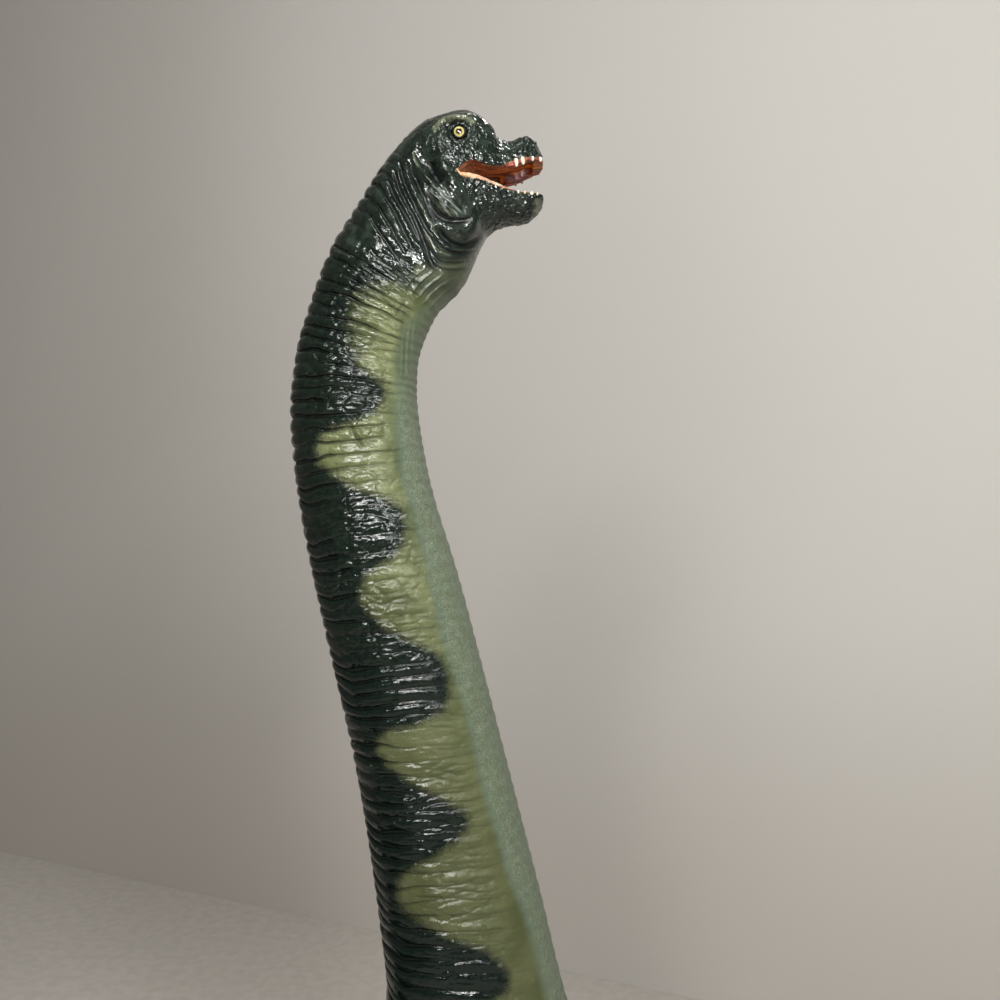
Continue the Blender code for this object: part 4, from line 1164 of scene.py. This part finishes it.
def leg_relief(points, turns, tall, flank, seed):
    """Wrinkled column: deep folds round knee and ankle and a net between."""
    up = points[..., 2]
    rise = up / tall
    turn = turns[None] + 0 * rise
    aside, above = 0.012 * np.sin(turn), 0.012 * np.cos(turn)
    flow = (up, aside, above)
    net = wrinkle_net(flow, seed, 0.0034, 0.0040)
    rings, phase, ring_depth = ring_folds(flow, seed + 3)
    creased = hump(rise, 0.36, 0.10) + hump(rise, 0.13, 0.06)
    creased = np.clip(creased + 0.25 * wander(flow, 0.02, 0.01, seed), 0, 1)
    muscle = wander(flow, 0.026, 0.010, seed + 8, clouds)
    height = 1.2 * NET_HEIGHT * net * (1 - 0.6 * creased) + RING_HEIGHT * 0.9 * rings * creased
    height = height + 0.0006 * muscle * ease(rise, 0.15, 0.4)
    height = height + 0.00010 * wander(flow, 0.0015, 0.0018, seed + 5, clouds)
    outer = flank * np.sin(turn)
    lobes = wave(turn / (2 * pi) * 4, seed)
    dark = (rise - 0.60 + 0.16 * lobes - 0.10 * outer) * 60 + 8 * hump(rise, 0.02, 0.10) - 6
    return height, {"run": up, "aside": aside, "above": above, "dark": dark,
                    "relief": np.clip(1 + net * 0.6 + rings * creased * 0.8, 0, 1),
                    "band": (-0.70 - outer) * 5, "phase": phase, "ring": ring_depth * creased,
                    "shade": 0 * rise, "satin": 0.3 + 0 * rise, "lumps": 0.7 + 0 * rise}


# ---- node trees

class Wiring:
    """A node tree under construction: put() adds a node and wires or sets its sockets."""

    def __init__(self, tree):
        self.tree = tree

    def put(self, kind, sockets=None, **settings):
        node = self.tree.nodes.new(kind)
        for key, value in settings.items():
            setattr(node, key, value)
        for key, value in (sockets or {}).items():
            self.feed(node.inputs[key], value)
        return node

    def feed(self, socket, value):
        if isinstance(value, bpy.types.NodeSocket):
            self.tree.links.new(value, socket)
        else:
            socket.default_value = value


# ---- teeth and nails, repeated by geometry nodes

def repeat_on_points(name, places, make_shape, material, slot_name):
    """One plain mesh from a shape repeated at each place (spot, size, turn)."""
    spots, sizes, turns = zip(*places)
    mesh = bpy.data.meshes.new(name)
    mesh.from_pydata(spots, [], [])
    put_attribute(mesh, "size", np.array(sizes))
    put_attribute(mesh, "turn", np.array(turns))
    group = bpy.data.node_groups.new(name, "GeometryNodeTree")
    for way in ("INPUT", "OUTPUT"):
        group.interface.new_socket("Geometry", in_out=way, socket_type="NodeSocketGeometry")
    tree = Wiring(group)
    size, turn = (tree.put("GeometryNodeInputNamedAttribute", {"Name": key},
                           data_type="FLOAT_VECTOR").outputs["Attribute"]
                  for key in ("size", "turn"))
    turned = tree.put("FunctionNodeEulerToRotation", {"Euler": turn}).outputs[0]
    repeated = tree.put("GeometryNodeInstanceOnPoints", {
        "Points": tree.put("NodeGroupInput").outputs[0], "Instance": make_shape(tree),
        "Rotation": turned, "Scale": size}).outputs[0]
    plain = tree.put("GeometryNodeRealizeInstances", {"Geometry": repeated}).outputs[0]
    smooth = tree.put("GeometryNodeSetShadeSmooth", {"Geometry": plain}).outputs[0]
    tree.put("NodeGroupOutput", {0: smooth})
    ready(changed(placed(name, mesh), "NODES", node_group=group), material, slot_name)


def tooth_shape(tree):
    """A blunt peg one unit tall that narrows to its tip."""
    line = tree.put("GeometryNodeCurvePrimitiveLine", {"End": (0, 0, 1)}).outputs[0]
    spread = tree.put("GeometryNodeResampleCurve", {"Curve": line, "Count": 8}).outputs[0]
    along = tree.put("GeometryNodeSplineParameter").outputs["Factor"]
    taper = tree.put("ShaderNodeFloatCurve", {"Value": along})
    points = taper.mapping.curves[0].points
    points[0].location, points[1].location = (0, 0.70), (1, 0.20)
    points.new(0.45, 1.0)
    points.new(0.82, 0.72)
    taper.mapping.update()
    ring = tree.put("GeometryNodeCurvePrimitiveCircle",
                    {"Resolution": 10, "Radius": 0.5}).outputs[0]
    return tree.put("GeometryNodeCurveToMesh", {
        "Curve": spread, "Profile Curve": ring, "Scale": taper.outputs[0],
        "Fill Caps": True}).outputs[0]


def nail_shape(tree):
    """A flattened dome."""
    ball = tree.put("GeometryNodeMeshUVSphere", {"Segments": 24, "Rings": 14, "Radius": 1})
    return tree.put("GeometryNodeTransform", {
        "Geometry": ball.outputs["Mesh"],
        "Scale": (NAIL_STANDOUT, NAIL_WIDTH / 2, NAIL_HEIGHT / 2)}).outputs[0]


def make_teeth(material):
    corner_z = mouth_point(0, 0)[1]
    for name, teeth, lip_line, way in (("upper_teeth", UPPER_TEETH, LIP_LINE_SHARES, -1),
                                       ("lower_teeth", LOWER_TEETH, LOWER_LIP_SHARES, 1)):
        places = []
        for ahead, long, broad in teeth:
            long, broad = long / 1000, broad / 1000
            forward = mouth_point(ahead, 0)[0]
            lip = corner_z + at_station(lip_line, ahead) * MOUTH_GAPE
            out = half_width_at(forward, lip) - broad * 0.30
            places += [((forward, flank * out, lip - way * TOOTH_ROOT_SHARE * long),
                        (broad, broad * 0.8, long),
                        (0 if way > 0 else pi, TOOTH_LEAN * way, 0)) for flank in (1, -1)]
        repeat_on_points(name, places, tooth_shape, material, "neck_vinyl")


def make_nails(material):
    for name, kind, flank, step in LEGS:
        _, depth, width, behind, stride, table, _ = LEG_SIZES[kind]
        ahead, _, deep, wide = table[2]
        centre_x = CHEST_AHEAD_OF_ORIGIN - behind + ahead * depth + step * stride
        places = []
        for angle in NAIL_TURNS_DEG[kind]:
            turn = radians(angle) * flank
            places.append(((centre_x + cos(turn) * deep * depth / 2,
                            flank * LEG_FROM_MIDLINE + sin(turn) * wide * width / 2,
                            NAIL_HEIGHT * 0.56), (1, 1, 1), (0, 0, turn)))
        repeat_on_points(name + "_nails", places, nail_shape, material, "leg_vinyl")


# ---- materials

def paint(red, green, blue):
    """A paint colour from its screen values."""
    shares = [value / 255 for value in (red, green, blue)]
    return (*(share / 12.92 if share <= 0.04045 else ((share + 0.055) / 1.055) ** 2.4
              for share in shares), 1)


PAINTS = {name: paint(*values) for name, values in {
    "dark green": (13, 22, 17), "dark sheen": (23, 34, 27), "dark low painted shade": (4, 16, 12),
    "olive": (112, 118, 83), "deep olive": (80, 87, 55), "olive low painted shade": (60, 63, 38),
    "olive speck": (64, 76, 50), "band green": (103, 113, 96), "band olive": (95, 102, 79),
    "band spray": (80, 99, 89), "band speck": (66, 84, 72), "band dust": (146, 158, 142),
    "band low painted shade": (78, 86, 68), "high band": (84, 95, 70), "shade": (54, 63, 44),
    "head grey": (58, 70, 60), "head tan and highlight": (98, 104, 83), "pad painted highlight": (142, 152, 142),
    "scuff": (116, 124, 104), "olive wash and shade": (46, 52, 34), "dark wash and shade": (9, 13, 11),
    "palate amber": (232, 146, 52), "palate brown": (100, 46, 10), "corner tan": (222, 184, 146),
    "corner brown": (186, 130, 92), "lip rose": (206, 176, 158), "lip stain": (150, 108, 90),
    "gum red": (160, 84, 62), "gum brown": (112, 52, 36), "tooth": (240, 228, 204),
    "tooth stain": (206, 178, 140), "nail": (74, 72, 60), "nail dark": (38, 40, 34),
    "iris amber": (106, 78, 30), "iris cream": (188, 180, 116), "pupil": (12, 9, 6),
    "eye rim": (18, 17, 12), "wall": (199, 197, 192), "wall cloud": (191, 188, 183),
    "wall left painted shade": (160, 155, 147), "wall foot painted shade": (160, 151, 142), "floor": (186, 181, 174),
    "floor fibre": (178, 173, 165), "studio": (222, 214, 206)}.items()}


class Finish(Wiring):
    """A material under construction round one principled shader."""

    def __init__(self, name):
        self.material = bpy.data.materials.new(name)
        self.material.use_nodes = True
        super().__init__(self.material.node_tree)
        self.tree.nodes.clear()
        self.shader = self.put("ShaderNodeBsdfPrincipled")
        self.out = self.put("ShaderNodeOutputMaterial", {0: self.shader.outputs[0]})

    def done(self, colour, **sockets):
        """Feeds the shader; Specular_IOR_Level stands for the socket of that name in words."""
        self.feed(self.shader.inputs["Base Color"], colour)
        for key, value in sockets.items():
            self.feed(self.shader.inputs[key.replace("_", " ")], value)
        return self.material

    def place(self):
        return self.put("ShaderNodeTexCoord").outputs["Object"]

    def field(self, name, output="Fac"):
        return self.put("ShaderNodeAttribute", attribute_name=name).outputs[output]

    def grain(self, place, scale, detail=2.0):
        return self.put("ShaderNodeTexNoise", {"Vector": place, "Scale": scale, "Detail": detail,
                                               "Roughness": 0.5}).outputs["Fac"]

    def sum(self, operation, first, second=0.0, third=0.0, clamp=False):
        return self.put("ShaderNodeMath", {0: first, 1: second, 2: third}, operation=operation,
                        use_clamp=clamp).outputs[0]

    def times(self, first, second):
        return self.sum("MULTIPLY", first, second)

    def span(self, value, low, high, start=0.0, end=1.0, way="SMOOTHSTEP"):
        return self.put("ShaderNodeMapRange", {
            "Value": value, "From Min": low, "From Max": high, "To Min": start, "To Max": end,
        }, interpolation_type=way).outputs[0]

    def blend(self, share, first, second):
        """Colour between two others, each given as a socket or as the name of a paint."""
        first, second = (PAINTS[item] if isinstance(item, str) else item
                         for item in (first, second))
        return self.put("ShaderNodeMix", {0: share, 6: first, 7: second},
                        data_type="RGBA").outputs[2]

    def speckled(self, value, low, high, first, second):
        """Colour that goes over from one paint to another as a grain rises."""
        return self.blend(self.span(value, low, high), first, second)

    def between(self, share, first, second):
        return self.put("ShaderNodeMix", {0: share, 2: first, 3: second}).outputs[0]

    def sprayed(self, name, speck, mottle, width):
        """Cover of a sprayed coat with a soft, speckled edge."""
        edge = self.sum("MULTIPLY_ADD", speck, 2.2, self.sum("MULTIPLY_ADD", mottle, 1.6, -1.9))
        return self.span(self.sum("ADD", self.field(name), edge), -width, width)

    def scaled(self, vector, *shares):
        return self.put("ShaderNodeVectorMath", {0: vector, 1: shares},
                        operation="MULTIPLY").outputs[0]

    def mapped(self, vector, sockets, **settings):
        return self.put("ShaderNodeMapping", {"Vector": vector, **sockets}, **settings).outputs[0]

    def relief(self, height, strength, distance):
        """Normal of a fine relief."""
        return self.put("ShaderNodeBump", {"Strength": strength, "Distance": distance,
                                           "Height": height}).outputs[0]


def skin_finish(name, head=False):
    """Sprayed vinyl: dark lobes over olive, a matte throat band, dark wash and painted shade in the
    creases.
    """
    f = Finish(name)
    place = f.place()
    speck = f.grain(place, 3000, 1.0)
    mottle = f.grain(place, 700)
    relief = f.field("relief")
    dark = f.sprayed("dark", speck, mottle, 1.5)
    band = f.sprayed("band", speck, mottle, 1.3)
    up = f.put("ShaderNodeSeparateXYZ", {0: place}).outputs[2]
    # painted shade: lower down the figure the olive, the band and the dark paint turn darker,
    # standing in for the light falling off there
    low_painted_shade = f.span(up, 0.30, 0.18, 0.0, 0.75)
    olive = f.blend(low_painted_shade, olive_paint(f, place, speck), "olive low painted shade")
    throat = f.blend(f.times(low_painted_shade, 0.4), throat_paint(f, speck, mottle), "band low painted shade")
    throat = f.blend(f.span(up, 0.272, 0.300, 0.0, 0.65), throat, "high band")
    # shade: painted shade under the jaw and over the throat, and darker sprayed strips along the
    # band's edge
    colour = f.blend(f.field("shade"), f.blend(band, olive, throat), "shade")
    green = f.speckled(mottle, 0.35, 0.7, "dark green", "dark sheen")
    if head:
        green = head_green(f, place, speck, green)
    green = f.blend(f.times(low_painted_shade, 1.1), green, "dark low painted shade")
    scuff = f.times(f.span(f.grain(place, 420), 0.66, 0.76, 0.0, 0.30), f.span(relief, 0.9, 1.0))
    colour = f.blend(scuff, f.blend(dark, colour, green), "scuff")
    crease_at = f.sum("PINGPONG", f.field("phase"), 0.5)
    crease = f.sum("MULTIPLY", f.span(crease_at, 0.015, 0.150, 1.0, 0.0), f.field("ring"),
                   clamp=True)
    # wash and painted shade: creases and low relief are painted darker, partly as a dark wash
    # pooled in them and partly as the shade that falls there
    wash_and_shade = f.sum("MAXIMUM", f.times(crease, 0.85), f.span(relief, 0.05, 0.80, 0.70, 0.0))
    colour = f.blend(wash_and_shade, colour, f.blend(dark, "olive wash and shade", "dark wash and shade"))
    matte = f.sum("MAXIMUM", band, f.times(f.field("satin"), f.between(dark, 0.75, 0.30)))
    roughness = f.span(f.grain(place, 900), 0.3, 0.7,
                       f.between(dark, 0.17, 0.12), f.between(dark, 0.27, 0.22))
    roughness = f.sum("ADD", roughness, f.times(wash_and_shade, 0.25))
    roughness = f.sum("ADD", roughness, f.times(matte, 0.32))
    if head:
        flesh = f.field("flesh")
        colour = f.blend(flesh, colour, flesh_paint(f, place, mottle))
        roughness = f.between(flesh, roughness, 0.55)
    height = skin_height(f, place, speck, crease, head)
    return f.done(colour, Roughness=roughness, Normal=f.relief(height, 1.0, 0.001),
                  Specular_IOR_Level=0.52 if head else 0.34)


def olive_paint(f, place, speck):
    olive = f.speckled(f.grain(place, 130), 0.35, 0.68, "olive", "deep olive")
    return f.blend(f.span(speck, 0.54, 0.70, 0.0, 0.40), olive, "olive speck")


def throat_paint(f, speck, mottle):
    from_edge = f.sum("ABSOLUTE", f.times(f.field("band"), 0.55))
    edge = f.sum("SUBTRACT", 1.0, from_edge, clamp=True)
    throat = f.speckled(mottle, 0.38, 0.62, "band green", "band olive")
    throat = f.blend(f.times(edge, 0.6), throat, "band spray")
    throat = f.blend(f.span(speck, 0.50, 0.66, 0.0, 0.60), throat, "band speck")
    return f.blend(f.span(speck, 0.46, 0.32, 0.0, 0.35), throat, "band dust")


def head_green(f, place, speck, green):
    """Grey mottling, tan overspray that is partly painted highlight, and painted highlight streaks
    on the bulge behind the jaw.
    """
    green = f.blend(f.span(f.grain(place, 380, 3.0), 0.45, 0.70, 0.0, 0.40), green, "head grey")
    # tan spray, partly painted highlight on the jaw's bulge and a ridge
    sprayed = f.sum("ADD", f.field("tint_and_highlight"), f.sum("MULTIPLY_ADD", speck, 0.5, -0.25))
    green = f.blend(f.span(sprayed, 0.22, 1.0), green, "head tan and highlight")
    # painted highlight: pale streaks across the bulge behind the jaw
    pad_painted_highlight = f.times(f.span(pad_streaks(f, place), 0.44, 0.60, 0.0, 0.75), f.field("pad"))
    return f.blend(pad_painted_highlight, green, "pad painted highlight")


def flesh_paint(f, place, mottle):
    """Brown palate with lengthwise streaks, paler towards the corner, and stained lip rims."""
    streaks = f.grain(f.mapped(place, {"Scale": (170, 1500, 420)}), 1.0)
    palate = f.speckled(streaks, 0.40, 0.60, "palate amber", "palate brown")
    tan = f.speckled(mottle, 0.35, 0.62, "corner tan", "corner brown")
    rosy = f.speckled(mottle, 0.38, 0.62, "lip rose", "lip stain")
    gum = f.speckled(mottle, 0.4, 0.6, "gum red", "gum brown")
    light = f.field("pale_flesh")
    rim = f.blend(f.field("gum"), f.blend(light, rosy, tan), gum)
    return f.blend(f.field("rim"), f.blend(light, palate, f.blend(0.55, palate, tan)), rim)


def pad_streaks(f, place):
    """Slanting streaks of the bulge behind the jaw."""
    return f.grain(f.mapped(place, {"Rotation": (0, radians(-40), 0),
                                    "Scale": (0.0005, 0.0020, 0.0045)}, vector_type="TEXTURE"), 1.0)


def skin_height(f, place, speck, crease, head):
    """Fine relief in millimetres: creases, crumpled skin and, on the head, pebbles."""
    flow = f.field("flow", "Vector")
    long_lumps = f.grain(f.scaled(flow, 820, 330, 330), 1.0, 1.5)
    facets = f.put("ShaderNodeTexVoronoi", {"Vector": f.scaled(flow, 620, 430, 430), "Scale": 1.0},
                   feature="SMOOTH_F1").outputs["Distance"]
    crumple = f.times(f.grain(place, 1500, 1.0), 0.045)
    crumple = f.sum("MULTIPLY_ADD", long_lumps, 0.24, crumple)
    crumple = f.sum("MULTIPLY_ADD", facets, -0.16, crumple)
    height = f.times(crumple, f.span(f.field("lumps"), 0.0, 1.0, 0.10, 1.0, "LINEAR"))
    height = f.sum("MULTIPLY_ADD", speck, 0.010, height)
    height = f.sum("MULTIPLY_ADD", crease, -0.26, height)
    if head:
        apart = f.put("ShaderNodeTexVoronoi",
                      {"Vector": place, "Scale": 1050.0}).outputs["Distance"]
        pebble = f.times(f.sum("SUBTRACT", 1.0, f.times(apart, apart)), f.field("scales"))
        height = f.sum("MULTIPLY_ADD", pebble, 0.20, height)
        height = f.sum("MULTIPLY_ADD", f.times(pad_streaks(f, place), f.field("pad")), 0.26, height)
    return height


def tooth_finish():
    f = Finish("tooth_cream")
    stain = f.grain(f.place(), 1500)
    return f.done(f.speckled(stain, 0.40, 0.66, "tooth", "tooth stain"),
                  Roughness=f.span(stain, 0.3, 0.7, 0.22, 0.40),
                  Normal=f.relief(stain, 0.3, 0.00005))


def nail_finish():
    f = Finish("nail_horn")
    streak = f.grain(f.mapped(f.place(), {"Scale": (900, 900, 260)}), 1.0, 3.0)
    return f.done(f.speckled(streak, 0.36, 0.66, "nail", "nail dark"),
                  Roughness=f.span(streak, 0.3, 0.7, 0.28, 0.42),
                  Normal=f.relief(streak, 0.5, 0.00010))


def eye_finish(name, centre):
    """Black pupil, cream-yellow iris with an amber rim, dark surround, all under one gloss."""
    f = Finish(name)
    flat = f.scaled(f.mapped(f.place(), {"Location": (-centre.x, 0, -centre.z)}), 1, 0, 1)
    out = f.put("ShaderNodeVectorMath", {0: flat}, operation="LENGTH").outputs["Value"]
    out = f.sum("MULTIPLY_ADD", f.grain(flat, 2400), 0.00016, out)
    iris = f.speckled(out, 0.00066, 0.00092, "iris amber", "iris cream")
    colour = f.speckled(out, 0.00056, 0.00066, "pupil", iris)
    colour = f.speckled(out, 0.00106, 0.00120, colour, "eye rim")
    return f.done(colour, Roughness=0.10, Coat_Weight=0.6, Coat_Roughness=0.05)


# ---- stage

def wall_finish():
    """Pale wall with painted shade to the left and towards its foot, clear from its back so that it
    doesn't hide the figure from behind.
    """
    f = Finish("wall_paint")
    place = f.put("ShaderNodeSeparateXYZ", {0: f.place()}).outputs
    colour = f.speckled(f.grain(f.place(), 2.2), 0.3, 0.7, "wall", "wall cloud")
    # painted shade: the wall darkens to the left and towards its foot
    colour = f.blend(f.span(place[0], 0.12, -0.10, 0.0, 0.40), colour, "wall left painted shade")
    colour = f.blend(f.span(place[2], 0.24, 0.02, 0.0, 0.40), colour, "wall foot painted shade")
    from_back = f.put("ShaderNodeNewGeometry").outputs["Backfacing"]
    clear = f.put("ShaderNodeBsdfTransparent").outputs[0]
    one_sided = f.put("ShaderNodeMixShader", {0: from_back, 1: f.shader.outputs[0], 2: clear})
    f.feed(f.out.inputs[0], one_sided.outputs[0])
    return f.done(colour, Roughness=0.9)


def floor_finish():
    f = Finish("floor_paper")
    return f.done(f.speckled(f.grain(f.place(), 160, 3.0), 0.3, 0.7, "floor", "floor fibre"),
                  Roughness=0.85)


def flat_panel(name, corners, material):
    mesh = bpy.data.meshes.new(name)
    mesh.from_pydata(corners, [], [(0, 1, 2, 3)])
    mesh.materials.append(material)
    placed(name, mesh)


def make_stage():
    near, far, tall = Vector((0.60, 0.157, 0)), Vector((-0.75, 0.783, 0)), Vector((0, 0, 1.2))
    flat_panel("wall", [far, near, near + tall, far + tall], wall_finish())
    corners = [(-1.6, -1.6), (1.6, -1.6), (1.6, 1.6), (-1.6, 1.6)]
    flat_panel("floor", [(*corner, -0.0002) for corner in corners], floor_finish())


# Round lamps: name, place, aim, size, power, spread in degrees, colour, lights what is dull,
# shows in what is glossy
LAMPS = [
    ("key", (0.38, -0.60, 0.53), (0.16, 0, 0.30), 0.24, 5.3, 180, (1, 1, 0.98), True, False),
    ("front", (0.02, -0.62, 0.54), (0.15, 0, 0.30), 0.19, 2.1, 180, (1, 0.96, 0.92), True, True),
    ("top", (0.13, -0.34, 0.88), (0.15, 0, 0.30), 0.12, 1.1, 180, (1, 1, 1), True, True),
    ("ceiling", (0, 0, 2.2), (0, 0, 0), 2.0, 9.0, 180, (1, 1, 1), True, False),
    ("behind", (0.10, 0.35, 0.74), (0.05, 0, 0.18), 0.30, 0.10, 50, (1, 1, 1), True, False),
    ("far_side", (-0.22, 0.42, 0.48), (0.06, 0, 0.17), 0.30, 0.30, 70, (1, 1, 1), True, False),
    ("neck_gleam", (0.11, -0.60, 0.50), (0.15, 0, 0.28), 0.09, 1.3, 180, (1, 1, 1), False, True),
    ("high_gleam", (0.30, -0.60, 0.46), (0.14, 0, 0.295), 0.12, 0.026, 22, (1, 1, 1), False, True),
    ("low_gleam", (-0.10, -0.60, 0.42), (0.15, 0, 0.185), 0.08, 0.016, 22, (1, 1, 1), False, True),
    ("jaw_gleam", (0.30, -0.50, 0.27), (0.18, 0, 0.335), 0.06, 0.06, 24, (1, 1, 1), False, True),
    ("crown_gleam", (0.30, 0.19, 0.66), (0.16, 0, 0.335), 0.06, 0.014, 30, (1, 1, 1), False, True),
]


def make_light():
    for name, place, aim, size, power, spread, colour, dull, glossy in LAMPS:
        light = bpy.data.lights.new(name, "AREA")
        light.shape = "DISK"
        light.size, light.energy, light.spread, light.color = size, power, radians(spread), colour
        lamp = placed(name, light)
        lamp.location = place
        lamp.rotation_mode = "QUATERNION"
        lamp.rotation_quaternion = (Vector(aim) - Vector(place)).to_track_quat("-Z", "Y")
        lamp.visible_diffuse, lamp.visible_glossy, lamp.visible_camera = dull, glossy, False


def make_world():
    """Pale surroundings, bright where they are seen and weak as light on the figure."""
    world = bpy.context.scene.world = bpy.data.worlds.new("studio")
    world.use_nodes = True
    tree = Wiring(world.node_tree)
    rays = tree.put("ShaderNodeLightPath").outputs
    seen = tree.put("ShaderNodeMath", {0: rays["Is Camera Ray"], 1: rays["Is Transmission Ray"]})
    shown = tree.put("ShaderNodeMath", {0: rays["Is Glossy Ray"], 1: WORLD_IN_GLOSS,
                                        2: seen.outputs[0]}, operation="MULTIPLY_ADD")
    level = tree.put("ShaderNodeMapRange", {"Value": shown.outputs[0], "To Min": WORLD_AS_LIGHT,
                                            "To Max": WORLD_AS_SEEN})
    background = world.node_tree.nodes["Background"]
    tree.feed(background.inputs["Color"], PAINTS["studio"])
    tree.feed(background.inputs["Strength"], level.outputs[0])


def make_camera():
    camera = bpy.data.cameras.new("camera")
    camera.sensor_width = camera.lens = 36
    camera.clip_start = 0.01
    holder = placed("camera", camera)
    holder.location = STANDPOINT
    holder.rotation_euler = (radians(90), 0, 0)
    bpy.context.scene.camera = holder
    bpy.context.scene.view_settings.view_transform = "Standard"


make_camera()
make_stage()
make_light()
make_world()
skin = skin_finish("painted_skin")
make_head(skin_finish("painted_head", head=True))
neck_pieces(["neck_base", "neck_middle", "neck_top"], 0, CUT_STATION + 0.02, skin)
make_torso(skin)
make_tail(skin)
for count, (name, kind, flank, step) in enumerate(LEGS):
    make_leg(name, kind, flank, step, skin, LEG_SEED + LEG_SEED_STEP * count)
for name, flank in (("eye_right", -1), ("eye_left", 1)):
    eye = bead(name + "_bead", eye_place(flank), EYE_RADIUS, 64, 48)
    ready(eye, eye_finish(name + "_gloss", eye_place(flank)), "eye_gloss", name)
make_teeth(tooth_finish())
make_nails(nail_finish())
